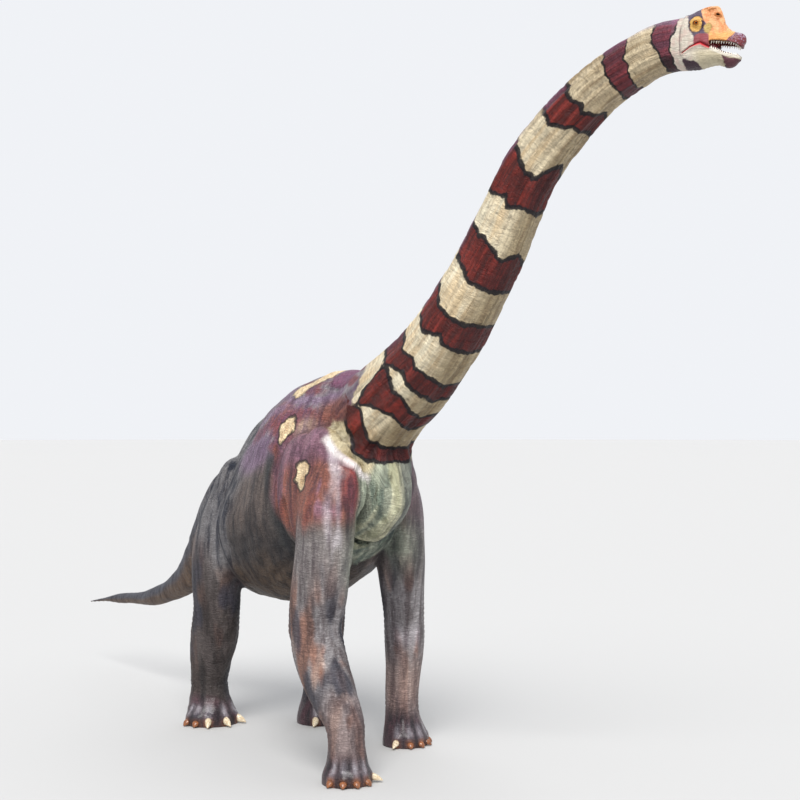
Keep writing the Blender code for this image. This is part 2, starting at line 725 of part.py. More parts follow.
def body_pieces(collection, cutters):
    """The figure up to its nape, joined, stood on its soles and parted into its named lengths."""
    bm = bmesh.new()
    loft(bm, trunk_rows(), UP)
    loft(bm, NECK, UP)
    loft(bm, TAIL, UP)
    for rows in (FRONT_RIGHT, FRONT_LEFT, HIND_RIGHT, HIND_LEFT):
        loft(bm, rows, AHEAD)
    for centre, radii in MUSCLES:
        lump(bm, centre, radii)
    head_shapes(bm)
    toes(bm, FRONT_FEET, (THUMB_ANGLE, *FRONT_NAIL_ANGLES), FRONT_TOE)
    toes(bm, HIND_FEET, (*HIND_CLAW_ANGLES, *HIND_NAIL_ANGLES), HIND_TOE)
    body = solid("body", bm, BODY_VOXEL, BODY_EASE, BODY_TRIANGLES, collection)
    trim(body, (0.0, 0.0, 0.0), (0.0, 0.0, -1.0))
    ahead = (HEAD_FRAME.to_3x3() @ Vector((1.0, 0.0, 0.0))).normalized()
    nape = HEAD_FRAME @ Vector(NAPE_CUT)
    trim(body, nape - ahead * CUT / 2, ahead)
    boolean(body, parting_discs(cutters))
    pieces = {}
    for mesh in islands(body.data):
        centre = middle(mesh)
        name = min(SEEDS, key=lambda key: (Vector(SEEDS[key]) - centre).length)
        pieces[name] = new_object(name, mesh, collection)
    bpy.data.objects.remove(body, do_unlink=True)
    return pieces


def head_pieces(collection, cutters):
    """The head, cut off at the nape and parted from its lower jaw, with its teeth and eyes."""
    bm = bmesh.new()
    loft(bm, NECK[-3:], UP)
    head_shapes(bm)
    whole = solid("whole_head", bm, HEAD_VOXEL, HEAD_EASE, HEAD_TRIANGLES, collection)
    ahead = (HEAD_FRAME.to_3x3() @ Vector((1.0, 0.0, 0.0))).normalized()
    nape = HEAD_FRAME @ Vector(NAPE_CUT)
    trim(whole, nape + ahead * CUT / 2, -ahead)
    boolean(whole, mouth_cutter(cutters))
    parts = sorted(islands(whole.data), key=lambda mesh: middle(mesh).z)
    jaw = new_object("lower_jaw", parts[0], collection)
    head = new_object("head", parts[-1], collection)
    bpy.data.objects.remove(whole, do_unlink=True)
    # The exact solver drops a jaw that is joined to two dozen loose cones, so these use the other one.
    top_row = tooth_row("teeth_top", MOUTH_TOP[:-1], -1, TOP_ROW, cutters)
    bottom_row = tooth_row("teeth_bottom", MOUTH_BOTTOM[1:], 1, BOTTOM_ROW, cutters)
    boolean(head, top_row, "UNION", "MANIFOLD")
    boolean(jaw, bottom_row, "UNION", "MANIFOLD")
    pieces = {"head": head, "lower_jaw": jaw}
    for name, side in (("eye_right", -1), ("eye_left", 1)):
        ball = bmesh.new()
        place = HEAD_FRAME @ Matrix.Translation((EYE.x, side * EYE.y, EYE.z))
        bmesh.ops.create_uvsphere(ball, u_segments=10, v_segments=6, radius=EYE_RADIUS, matrix=place)
        mesh = bpy.data.meshes.new(name)
        ball.to_mesh(mesh)
        ball.free()
        pieces[name] = new_object(name, mesh, collection)
        boolean(head, swollen(pieces[name], SOCKET_GAP, cutters))
    return pieces


def claws(pieces, collection, cutters):
    """Claws and nails, each in a socket of its foot."""
    made = {}
    for name, foot, middle_point, side, angle, size in claw_list():
        made[name] = claw_shape(name, middle_point, side, angle, size, collection)
        boolean(pieces["foot_" + foot], swollen(made[name], SOCKET_GAP, cutters))
    return made


IVORY = (0.72, 0.62, 0.42)
HORN = (0.36, 0.17, 0.07)
AMBER = (0.35, 0.12, 0.02)


def piece_material(name):
    """A piece's own material: gloss on claws, nails and eyes, and satin paint on the skin."""
    if name.startswith("claw"):
        return material("paint_" + name, IVORY, 0.3)
    if name.startswith("nail"):
        return material("paint_" + name, HORN, 0.3)
    if name.startswith("eye"):
        return material("paint_" + name, AMBER, 0.08)
    return material("paint_" + name, SKIN_COLOURS[name.split("_")[0]], 0.42)


def finish_pieces(pieces):
    """Colours every piece and shades its round faces smooth."""
    for name, item in pieces.items():
        item.data.materials.clear()
        item.data.materials.append(piece_material(name))
        item.data.shade_smooth()
        item.data.set_sharp_from_angle(angle=SMOOTH_ANGLE)


def centre_over_origin(pieces):
    """Moves every piece sideways, so that the middle of the figure's box is over the origin."""
    points = [item.matrix_world @ vert.co for item in pieces.values() for vert in item.data.vertices]
    low = Vector([min(point[i] for point in points) for i in range(3)])
    high = Vector([max(point[i] for point in points) for i in range(3)])
    shift = (low + high) / 2
    for item in pieces.values():
        item.location = (-shift.x, -shift.y, 0.0)


def main():
    clear_scene()
    figure = bpy.data.collections.new("brachiosaur_figure")
    cutters = bpy.data.collections.new("cutters")
    bpy.context.scene.collection.children.link(figure)
    bpy.context.scene.collection.children.link(cutters)
    pieces = body_pieces(figure, cutters)
    pieces.update(head_pieces(figure, cutters))
    pieces.update(claws(pieces, figure, cutters))
    finish_pieces(pieces)
    centre_over_origin(pieces)


main()
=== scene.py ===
# A life-size painted brachiosaur park figure: one skin with its eyes, mouth, teeth, claws and nails.
import math
from contextlib import contextmanager
from itertools import product

import bmesh
import bpy
import numpy as np
from mathutils import Matrix, Vector
from mathutils.kdtree import KDTree


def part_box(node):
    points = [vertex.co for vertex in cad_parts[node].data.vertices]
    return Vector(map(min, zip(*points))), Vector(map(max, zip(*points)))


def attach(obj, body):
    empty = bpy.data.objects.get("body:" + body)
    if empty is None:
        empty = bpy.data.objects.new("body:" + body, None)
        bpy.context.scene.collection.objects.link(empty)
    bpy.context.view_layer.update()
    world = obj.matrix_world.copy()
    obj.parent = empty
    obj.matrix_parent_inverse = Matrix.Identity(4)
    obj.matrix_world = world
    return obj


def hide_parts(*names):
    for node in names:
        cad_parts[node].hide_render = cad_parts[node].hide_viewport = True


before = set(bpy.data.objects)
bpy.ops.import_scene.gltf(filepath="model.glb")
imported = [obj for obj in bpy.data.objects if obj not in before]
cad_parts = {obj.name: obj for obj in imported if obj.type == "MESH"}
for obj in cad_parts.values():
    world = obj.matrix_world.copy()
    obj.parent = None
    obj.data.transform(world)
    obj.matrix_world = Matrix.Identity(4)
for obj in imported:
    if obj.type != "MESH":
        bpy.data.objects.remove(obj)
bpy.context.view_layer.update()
scene = bpy.context.scene
skyward = Vector((0, 0, 1))
forward = Vector((0, -1, 0))
print("stage: frame loaded")


# the figure's lengths, in metres, on a stance frame midway between the feet
trunk = {
    "widest": 0.42,  # how far up the trunk is widest
    # y, back height, belly height, half width, narrowing of the back
    "rows": (
        (-2.64, 5.0, 4.42, 0.16, 0.0), (-2.42, 5.48, 4.0, 0.35, 0.0), (-2.02, 6.1, 3.64, 0.51, 0.0),
        (-1.4, 6.6, 3.62, 0.86, 0.0), (-0.6, 6.55, 3.18, 1.32, 0.1), (0.3, 6.24, 2.52, 1.42, 0.34),
        (1.1, 5.96, 2.41, 1.34, 0.44), (1.9, 5.62, 2.44, 1.12, 0.46), (2.7, 5.12, 2.9, 0.8, 0.48),
        (3.3, 4.66, 3.35, 0.46, 0.4),
    ),
}
# rows: x, y, z, rise, drop, half width
neck = {
    "rows": (
        (0.0, -0.9, 5.0, 1.2, 1.2, 0.8), (0.0, -1.6, 5.55, 1.0, 0.84, 0.69),
        (0.01, -2.25, 5.98, 0.78, 0.71, 0.67), (0.04, -2.92, 6.38, 0.65, 0.67, 0.65),
        (0.1, -3.6, 6.88, 0.59, 0.59, 0.59), (0.17, -4.25, 7.56, 0.54, 0.54, 0.53),
        (0.24, -4.69, 8.15, 0.5, 0.5, 0.49), (0.33, -5.08, 8.8, 0.46, 0.46, 0.45),
        (0.43, -5.46, 9.42, 0.43, 0.43, 0.42), (0.61, -5.97, 10.02, 0.4, 0.4, 0.39),
        (0.86, -6.56, 10.55, 0.37, 0.39, 0.37), (1.14, -7.12, 10.87, 0.35, 0.37, 0.34),
        (1.34, -7.49, 10.97, 0.34, 0.34, 0.29), (1.52, -7.8, 11.0, 0.26, 0.3, 0.22),
    ),
}
tail = {
    "rows": (
        (0, 2.2, 4.28, 0.84, 1.1, 0.78), (0, 3.1, 4.0, 0.76, 0.8, 0.66), (0, 3.9, 3.51, 0.59, 0.58, 0.5),
        (0, 4.62, 2.95, 0.42, 0.43, 0.37), (0, 5.35, 2.43, 0.31, 0.33, 0.28), (0, 6.25, 2.06, 0.23, 0.25, 0.21),
        (0, 7.4, 1.79, 0.17, 0.17, 0.15), (0, 8.5, 1.68, 0.12, 0.12, 0.11), (0, 9.6, 1.54, 0.075, 0.075, 0.07),
        (0, 10.7, 1.37, 0.03, 0.03, 0.03),
    ),
}
# rows: x, y, z, forward reach, backward reach, half width
legs = {
    "frontRight": (
        (-0.72, -1.6, 5.2, 0.5, 0.55, 0.3), (-0.98, -1.92, 4.4, 0.62, 0.6, 0.42),
        (-1.11, -2.02, 3.6, 0.55, 0.55, 0.42), (-1.15, -1.97, 2.9, 0.49, 0.55, 0.43),
        (-1.17, -1.93, 2.35, 0.4, 0.57, 0.4), (-1.17, -2.1, 1.85, 0.4, 0.53, 0.39),
        (-1.14, -2.43, 1.3, 0.35, 0.38, 0.36), (-1.11, -2.67, 0.9, 0.32, 0.29, 0.31),
        (-1.12, -2.76, 0.6, 0.3, 0.29, 0.29), (-1.13, -2.8, 0.3, 0.35, 0.32, 0.34),
        (-1.14, -2.8, 0.12, 0.4, 0.36, 0.4), (-1.14, -2.79, -0.06, 0.4, 0.36, 0.4),
    ),
    "frontLeft": (
        (0.68, -1.0, 5.2, 0.45, 0.55, 0.3), (0.94, -1.09, 4.4, 0.48, 0.6, 0.4),
        (1.04, -1.07, 3.6, 0.46, 0.52, 0.4), (1.1, -1.04, 2.9, 0.42, 0.42, 0.38),
        (1.16, -1.02, 2.3, 0.38, 0.38, 0.36), (1.18, -1.0, 1.85, 0.37, 0.36, 0.36),
        (1.16, -1.0, 1.3, 0.31, 0.33, 0.31), (1.13, -1.01, 0.85, 0.28, 0.3, 0.29),
        (1.12, -1.03, 0.5, 0.29, 0.3, 0.3), (1.13, -1.05, 0.26, 0.36, 0.34, 0.36),
        (1.14, -1.06, 0.1, 0.4, 0.36, 0.4), (1.14, -1.06, -0.06, 0.4, 0.36, 0.4),
    ),
    "hindRight": (
        (-0.52, 1.77, 4.84, 0.46, 0.46, 0.26), (-0.78, 1.88, 4.15, 0.66, 0.62, 0.4),
        (-0.9, 2.03, 3.4, 0.68, 0.64, 0.46), (-0.92, 2.16, 2.75, 0.56, 0.54, 0.44),
        (-0.89, 2.24, 2.25, 0.56, 0.46, 0.42), (-0.87, 2.38, 1.75, 0.58, 0.44, 0.42),
        (-0.87, 2.5, 1.25, 0.5, 0.38, 0.38), (-0.87, 2.56, 0.8, 0.38, 0.33, 0.34),
        (-0.87, 2.55, 0.55, 0.4, 0.33, 0.36), (-0.87, 2.52, 0.28, 0.46, 0.38, 0.46),
        (-0.87, 2.5, 0.12, 0.5, 0.42, 0.5), (-0.87, 2.5, -0.06, 0.5, 0.42, 0.5),
    ),
    "hindLeft": (
        (0.52, 1.66, 4.84, 0.46, 0.46, 0.26), (0.78, 1.58, 4.15, 0.66, 0.62, 0.4),
        (0.9, 1.5, 3.4, 0.68, 0.64, 0.46), (0.92, 1.4, 2.75, 0.52, 0.54, 0.44),
        (0.89, 1.34, 2.25, 0.44, 0.46, 0.42), (0.9, 1.35, 1.75, 0.42, 0.44, 0.42),
        (0.92, 1.4, 1.25, 0.38, 0.38, 0.38), (0.93, 1.45, 0.8, 0.34, 0.33, 0.34),
        (0.93, 1.45, 0.55, 0.38, 0.33, 0.36), (0.93, 1.43, 0.28, 0.46, 0.38, 0.46),
        (0.93, 1.42, 0.12, 0.5, 0.42, 0.5), (0.93, 1.42, -0.06, 0.5, 0.42, 0.5),
    ),
}
# centre and radii of each muscle that stands out of the lengths
muscles = (
    ((-0.88, -1.65, 4.7), (0.4, 0.58, 0.95)), ((-0.98, -1.25, 4.55), (0.38, 0.74, 0.95)),
    ((-0.86, -2.05, 4.6), (0.42, 0.5, 0.6)), ((-1.2, -2.05, 3.95), (0.32, 0.46, 0.7)),
    ((-1.2, -1.62, 2.3), (0.26, 0.3, 0.36)), ((0.86, -0.97, 4.66), (0.4, 0.58, 0.95)),
    ((0.98, -0.6, 4.55), (0.38, 0.66, 0.95)), ((0.84, -1.18, 4.6), (0.4, 0.46, 0.6)),
    ((1.06, -1.04, 3.95), (0.34, 0.42, 0.7)), ((1.2, -0.8, 2.2), (0.25, 0.28, 0.36)),
    ((-0.61, 1.74, 4.36), (0.45, 0.72, 0.68)), ((-0.98, 2.15, 3.2), (0.34, 0.45, 0.7)),
    ((0.61, 1.64, 4.36), (0.45, 0.72, 0.68)), ((0.98, 1.6, 3.2), (0.34, 0.45, 0.7)),
)
# front: thumb claw and four nails; hind: three claws and two nails. Angles from straight ahead, to the midline
feet = {
    "front": {
        "middles": (("front_right", -1.14, -2.79, -1), ("front_left", 1.14, -1.06, 1)),
        "claws": (54,), "nails": (20, -9, -38, -68), "firstNail": 2,
        "toe": (0.32, 0.11, 0.125, 0.15),  # distance out, height, radius, half height
        # length, half width, height, height of the root, distance out
        "claw": (0.2, 0.06, 0.12, 0.11, 0.38), "nail": (0.085, 0.062, 0.1, 0.075, 0.415),
    },
    "hind": {
        "middles": (("hind_right", -0.87, 2.5, -1), ("hind_left", 0.93, 1.42, 1)),
        "claws": (44, 5, -32), "nails": (-58, -82), "firstNail": 4,
        "toe": (0.4, 0.12, 0.155, 0.17),
        "claw": (0.19, 0.065, 0.15, 0.12, 0.5), "nail": (0.085, 0.07, 0.11, 0.08, 0.53),
    },
}
# the head has its own frame: x ahead, y left, z up, from the back of the jaw
head = {
    "base": (1.46, -7.7, 10.99), "yaw": 32,  # turned from straight to the side
    "eye": (0.13, 0.205, 0.2), "eyeRadius": 0.045,
    "nostril": (0.413, 0.098, 0.317),
    "skull": (  # as the neck's rows, and how much the top narrows
        (-0.34, 0, -0.05, 0.38, 0.34, 0.31, 0), (-0.16, 0, -0.05, 0.39, 0.34, 0.28, 0),
        (0.0, 0, -0.05, 0.425, 0.31, 0.26, 0.05), (0.11, 0, -0.05, 0.47, 0.26, 0.245, 0.2),
        (0.2, 0, -0.05, 0.505, 0.22, 0.22, 0.45), (0.28, 0, -0.05, 0.525, 0.19, 0.195, 0.55),
        (0.335, 0, -0.055, 0.525, 0.19, 0.18, 0.6), (0.375, 0, -0.06, 0.485, 0.2, 0.172, 0.58),
        (0.415, 0, -0.065, 0.41, 0.21, 0.168, 0.55), (0.455, 0, -0.07, 0.32, 0.22, 0.163, 0.45),
        (0.5, 0, -0.075, 0.235, 0.23, 0.16, 0.3), (0.57, 0, -0.085, 0.18, 0.23, 0.155, 0.1),
        (0.63, 0, -0.095, 0.165, 0.22, 0.145, 0), (0.685, 0, -0.11, 0.155, 0.19, 0.125, 0),
        (0.725, 0, -0.13, 0.115, 0.12, 0.085, 0), (0.74, 0, -0.14, 0.06, 0.06, 0.04, 0),
    ),
    "jaw": (
        (-0.16, 0, -0.22, 0.14, 0.16, 0.21), (0.02, 0, -0.22, 0.16, 0.17, 0.235),
        (0.18, 0, -0.22, 0.15, 0.17, 0.205), (0.34, 0, -0.24, 0.14, 0.12, 0.175),
        (0.45, 0, -0.26, 0.12, 0.105, 0.16), (0.54, 0, -0.29, 0.12, 0.115, 0.15),
        (0.6, 0, -0.3, 0.1, 0.1, 0.135), (0.655, 0, -0.295, 0.07, 0.05, 0.105),
        (0.705, 0, -0.295, 0.035, 0.03, 0.055),
    ),
    "lumps": (  # brow, cheek and the swelling round a nostril
        ((0.13, 0.165, 0.2), (0.1, 0.065, 0.085)), ((0.1, 0.16, -0.03), (0.15, 0.085, 0.12)),
        ((0.385, 0.085, 0.3), (0.055, 0.035, 0.07)),
    ),
    # the open mouth from the side: upper edge forward from the corner, then the lower edge
    "mouthTop": (
        (0.15, -0.128), (0.22, -0.08), (0.34, -0.055), (0.43, -0.06), (0.58, -0.088), (0.67, -0.12),
        (0.73, -0.155), (0.9, -0.17),
    ),
    "mouthBottom": (
        (0.15, -0.08), (0.22, -0.092), (0.3, -0.126), (0.34, -0.146), (0.42, -0.186), (0.5, -0.224),
        (0.6, -0.25), (0.7, -0.266), (0.9, -0.29),
    ),
    "mouthBack": 0.3,
    "lipLine": (  # closed lips behind the mouth
        (-0.058, -0.196), (0.053, -0.122), (0.15, -0.08), (0.19, -0.07), (0.245, -0.1), (0.302, -0.128),
    ),
}
headFrame = Matrix.Translation(head["base"]) @ Matrix.Rotation(math.radians(head["yaw"] - 90), 4, "Z")
eyeBoxes = [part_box(name) for name in ("eye_left", "eye_right")]
eyesMiddle = sum(((low + high) / 2 for low, high in eyeBoxes), Vector()) / 2
stance = eyesMiddle - headFrame @ Vector((head["eye"][0], 0, head["eye"][2]))
stance.z = 0
print("stage: stance frame at", [round(value, 4) for value in stance])


# mesh helpers
tubeDetail = {"sides": 48, "steps": 8}


def curveValue(before, here, there, after, share):
    slope = (there - before) * share
    bend = (2 * before - 5 * here + 4 * there - after) * share**2
    twist = (3 * here - before - 3 * there + after) * share**3
    return 0.5 * (2 * here + slope + bend + twist)


def smoothRows(rows, steps):
    out = []
    last = len(rows) - 1
    for i in range(last):
        around = (rows[max(i - 1, 0)], rows[i], rows[i + 1], rows[min(i + 2, last)])
        for step in range(steps):
            out.append([curveValue(*values, step / steps) for values in zip(*around)])
    out.append(list(rows[last]))
    return out


def tube(bm, rows, reference, sides=tubeDetail["sides"], steps=tubeDetail["steps"]):
    smooth = smoothRows(rows, steps)
    centres = [Vector(row[:3]) for row in smooth]
    rings = []
    for i, row in enumerate(smooth):
        along = (centres[min(i + 1, len(centres) - 1)] - centres[max(i - 1, 0)]).normalized()
        rising = (reference - along * reference.dot(along)).normalized()
        sideways = along.cross(rising)
        rise, drop, width = row[3:6]
        pinch = row[6] if len(row) > 6 else 0
        ring = []
        for k in range(sides):
            turn = 2 * math.pi * k / sides
            lift = math.sin(turn)
            across = math.cos(turn) * width * (1 - pinch * max(lift, 0))
            ring.append(bm.verts.new(centres[i] + rising * lift * (rise if lift > 0 else drop) + sideways * across))
        rings.append(ring)
    for low, high in zip(rings, rings[1:]):
        for k in range(sides):
            j = (k + 1) % sides
            bm.faces.new((low[j], low[k], high[k], high[j]))
    bm.faces.new(rings[0])
    bm.faces.new(rings[-1][::-1])


def lump(bm, centre, radii):
    place = Matrix.Translation(centre) @ Matrix.Diagonal((*radii, 1))
    bmesh.ops.create_uvsphere(bm, u_segments=28, v_segments=18, radius=1, matrix=place)


def newObject(name, mesh):
    made = bpy.data.objects.new(name, mesh)
    scene.collection.objects.link(made)
    return made


def fromBmesh(name, bm):
    mesh = bpy.data.meshes.new(name)
    bm.to_mesh(mesh)
    bm.free()
    return newObject(name, mesh)


@contextmanager
def editing(mesh):
    bm = bmesh.new()
    bm.from_mesh(mesh)
    yield bm
    bm.to_mesh(mesh)
    bm.free()


def addStep(thing, kind, **settings):
    step = thing.modifiers.new(kind.lower(), kind)
    for name, value in settings.items():
        setattr(step, name, value)
    return step


def applyAll(thing):
    graph = bpy.context.evaluated_depsgraph_get()
    made = bpy.data.meshes.new_from_object(thing.evaluated_get(graph), depsgraph=graph)
    thing.modifiers.clear()
    old = thing.data
    thing.data = made
    bpy.data.meshes.remove(old)


def readPoints(mesh, what="co"):
    values = np.empty(len(mesh.vertices) * 3)
    mesh.vertices.foreach_get(what, values)
    return values.reshape(-1, 3)


def writePoints(mesh, points):
    mesh.vertices.foreach_set("co", points.ravel())
    mesh.update()


def readEdges(mesh):
    ends = np.empty(len(mesh.edges) * 2, np.int64)
    mesh.edges.foreach_get("vertices", ends)
    return ends.reshape(-1, 2)


def dropInnerShells(mesh):
    # the joined shapes can close round a small hollow; only the largest skin stays
    ends = readEdges(mesh)
    label = np.arange(len(mesh.vertices))
    while True:
        low = np.minimum(label[ends[:, 0]], label[ends[:, 1]])
        new = label.copy()
        np.minimum.at(new, ends[:, 0], low)
        np.minimum.at(new, ends[:, 1], low)
        new = new[new]
        if (new == label).all():
            break
        label = new
    names, counts = np.unique(label, return_counts=True)
    if len(names) == 1:
        return
    keep = label == names[counts.argmax()]
    with editing(mesh) as bm:
        bm.verts.ensure_lookup_table()
        bmesh.ops.delete(bm, geom=[bm.verts[int(i)] for i in np.flatnonzero(~keep)], context="VERTS")


def joinShapes(thing, voxel, rounds):
    addStep(thing, "REMESH", mode="VOXEL", voxel_size=voxel)
    addStep(thing, "SMOOTH", factor=0.5, iterations=rounds)
    applyAll(thing)
    dropInnerShells(thing.data)


def thin(thing, triangles):
    thing.data.calc_loop_triangles()
    share = min(1, triangles / len(thing.data.loop_triangles))
    addStep(thing, "DECIMATE", ratio=share, use_collapse_triangulate=True)
    applyAll(thing)


def neighbourCount(ends, count):
    return np.maximum(np.bincount(ends.ravel(), minlength=count), 1)


def averageOf(ends, values):
    # the mean of each vertex's neighbours
    count = len(values)
    total = np.empty_like(values)
    for axis in range(values.shape[1]):
        total[:, axis] = np.bincount(ends[:, 0], values[ends[:, 1], axis], count)
        total[:, axis] += np.bincount(ends[:, 1], values[ends[:, 0], axis], count)
    return total / neighbourCount(ends, count)[:, None]


# number helpers
def ramp(values, low, high):
    share = np.clip((values - low) / (high - low), 0, 1)
    return share * share * (3 - 2 * share)


def fall(values, low, high):
    return 1 - ramp(values, low, high)


def bell(values, middle, width):
    return np.exp(-(((values - middle) / width) ** 2))


def blob(points, centre, radii, soft=0.35):
    # 1 inside an ellipsoid and 0 outside it, with a soft border
    reach = np.sqrt((((points - np.array(centre)) / np.array(radii)) ** 2).sum(1))
    return fall(reach, 1 - soft, 1 + soft)


def readTable(table, values):
    return np.interp(values, *np.array(table, float).T)


def softNoise(points, cell, seed, octaves=2):
    # smooth noise between about -1 and 1, the same each time for a seed
    total = np.zeros(len(points))
    weight, size = 1.0, np.array(cell, float)
    for _ in range(octaves):
        spot = points / size + seed * 7.31
        base = np.floor(spot).astype(np.int64)
        part = spot - base
        part = part * part * (3 - 2 * part)
        for corner in product((0, 1), repeat=3):
            grid = base + np.array(corner)
            mixed = (grid[:, 0] * 73856093) ^ (grid[:, 1] * 19349663) ^ (grid[:, 2] * 83492791) ^ (seed * 26544357)
            mixed = (mixed ^ (mixed >> 13)) * 1274126177 & 0xFFFFFFFF
            mixed = (mixed ^ (mixed >> 15)) & 0xFFFF
            share = np.where(np.array(corner), part, 1 - part).prod(1)
            total += weight * share * (mixed / 32767.5 - 1)
        weight, size, seed = weight * 0.5, size * 0.5, seed + 1
    return total


def lineDistance(points, line):
    # the distance from each point to a broken line
    best = np.full(len(points), 1e9)
    corners = [np.array(corner, float) for corner in line]
    for start, end in zip(corners, corners[1:]):
        run = end - start
        share = np.clip(((points - start) @ run) / (run @ run), 0, 1)
        best = np.minimum(best, np.linalg.norm(points - start - share[:, None] * run, axis=1))
    return best


def followTube(points, rows, samples=40):
    # how far along a tube's middle line each point is, its angle round it from the top, and its distance
    fine = np.array([row[:3] for row in smoothRows(rows, samples)], float)
    lengths = np.concatenate(((0,), np.cumsum(np.linalg.norm(np.diff(fine, axis=0), axis=1))))
    along = np.gradient(fine, axis=0)
    along /= np.linalg.norm(along, axis=1)[:, None]
    rising = np.array((0, 0, 1)) - along * along[:, 2:]
    rising /= np.linalg.norm(rising, axis=1)[:, None]
    sideways = np.cross(along, rising)
    tree = KDTree(len(fine))
    for i, point in enumerate(fine):
        tree.insert(point, i)
    tree.balance()
    nearest = np.fromiter((tree.find(point)[1] for point in points), np.int64, len(points))
    offset = points - fine[nearest]
    run = lengths[nearest] + (offset * along[nearest]).sum(1)
    turn = np.degrees(np.arctan2((offset * sideways[nearest]).sum(1), (offset * rising[nearest]).sum(1)))
    return run, turn, np.linalg.norm(offset, axis=1)


def legAxis(points, rows):
    # distance of each point from a leg's middle line at its own height, and the angle round it
    table = np.array(sorted(rows, key=lambda row: row[2]))
    offsetX = points[:, 0] - np.interp(points[:, 2], table[:, 2], table[:, 0])
    offsetY = points[:, 1] - np.interp(points[:, 2], table[:, 2], table[:, 1])
    return np.hypot(offsetX, offsetY), np.arctan2(offsetX, -offsetY)


# the body: lengths, muscles and toes joined, then folded
def outward(angle, side):
    turn = math.radians(angle)
    return Vector((-side * math.sin(turn), -math.cos(turn), 0))


def toeShapes(bm):
    for foot in feet.values():
        distance, height, radius, halfHeight = foot["toe"]
        for _, x, y, side in foot["middles"]:
            for angle in (*foot["claws"], *foot["nails"]):
                point = Vector((x, y, height)) + outward(angle, side) * distance
                lump(bm, point, (radius, radius, halfHeight))


def headShapes(bm):
    local = bmesh.new()
    tube(local, head["skull"], skyward)
    tube(local, head["jaw"], skyward)
    for (x, y, z), radii in head["lumps"]:
        lump(local, (x, y, z), radii)
        lump(local, (x, -y, z), radii)
    bmesh.ops.transform(local, matrix=headFrame, verts=local.verts)
    spare = bpy.data.meshes.new("spare")
    local.to_mesh(spare)
    local.free()
    bm.from_mesh(spare)
    bpy.data.meshes.remove(spare)


def trunkRows():
    rows = []
    for y, top, bottom, width, pinch in trunk["rows"]:
        widest = bottom + trunk["widest"] * (top - bottom)
        rows.append((0, y, widest, top - widest, widest - bottom, width, pinch))
    return rows


# creases on the right side: depth, width, how far the left one is moved back, and a broken line
creases = {
    "breastbone": (
        0.03, 0.06, 0, ((-0.14, -2.7, 5.05), (-0.16, -2.5, 4.5), (-0.2, -2.05, 3.95), (-0.24, -1.6, 3.6))),
    "breast": (
        0.034, 0.06, 0.1, ((-0.34, -2.66, 5.1), (-0.4, -2.45, 4.55), (-0.5, -2.15, 4.0), (-0.6, -1.8, 3.62))),
    "breastEdge": (
        0.03, 0.055, 0.3, ((-0.5, -2.6, 5.2), (-0.6, -2.45, 4.7), (-0.7, -2.3, 4.2), (-0.78, -2.2, 3.8))),
    "armpitFront": (
        0.045, 0.075, 0.9, ((-0.66, -2.5, 5.0), (-0.76, -2.42, 4.5), (-0.8, -2.3, 4.0), (-0.78, -2.2, 3.55))),
    "armpitBack": (
        0.045, 0.08, 0.9, ((-1.36, -1.1, 4.35), (-1.33, -1.15, 3.8), (-1.2, -1.25, 3.3), (-1.0, -1.35, 3.05))),
    "behindShoulder": (
        0.022, 0.09, 0.6, ((-1.2, -0.55, 5.3), (-1.38, -0.7, 4.6), (-1.38, -0.75, 3.9))),
    "flankFold": (
        0.045, 0.085, -0.5, ((-1.32, 1.05, 4.2), (-1.34, 1.0, 3.6), (-1.22, 1.15, 3.0), (-1.02, 1.35, 2.6))),
    "bellyArcHigh": (
        0.026, 0.07, -0.2, ((-1.34, 0.95, 3.45), (-1.42, 0.4, 3.55), (-1.42, -0.2, 3.75), (-1.38, -0.8, 4.0))),
    "bellyArc": (
        0.032, 0.065, -0.2, ((-1.2, 1.05, 2.95), (-1.3, 0.5, 3.05), (-1.26, -0.1, 3.25), (-1.16, -0.75, 3.5))),
    "bellyArcLow": (
        0.03, 0.065, -0.2, ((-0.95, 1.1, 2.62), (-1.05, 0.5, 2.75), (-1.0, -0.05, 2.95), (-0.95, -0.7, 3.3))),
    "thighBack": (
        0.026, 0.09, -0.5, ((-0.98, 2.7, 4.1), (-1.05, 2.62, 3.4), (-1.02, 2.6, 2.8))),
    "tailRoot": (
        0.022, 0.09, 0, ((-0.66, 2.85, 4.6), (-0.66, 3.2, 4.0), (-0.5, 3.3, 3.5))),
}
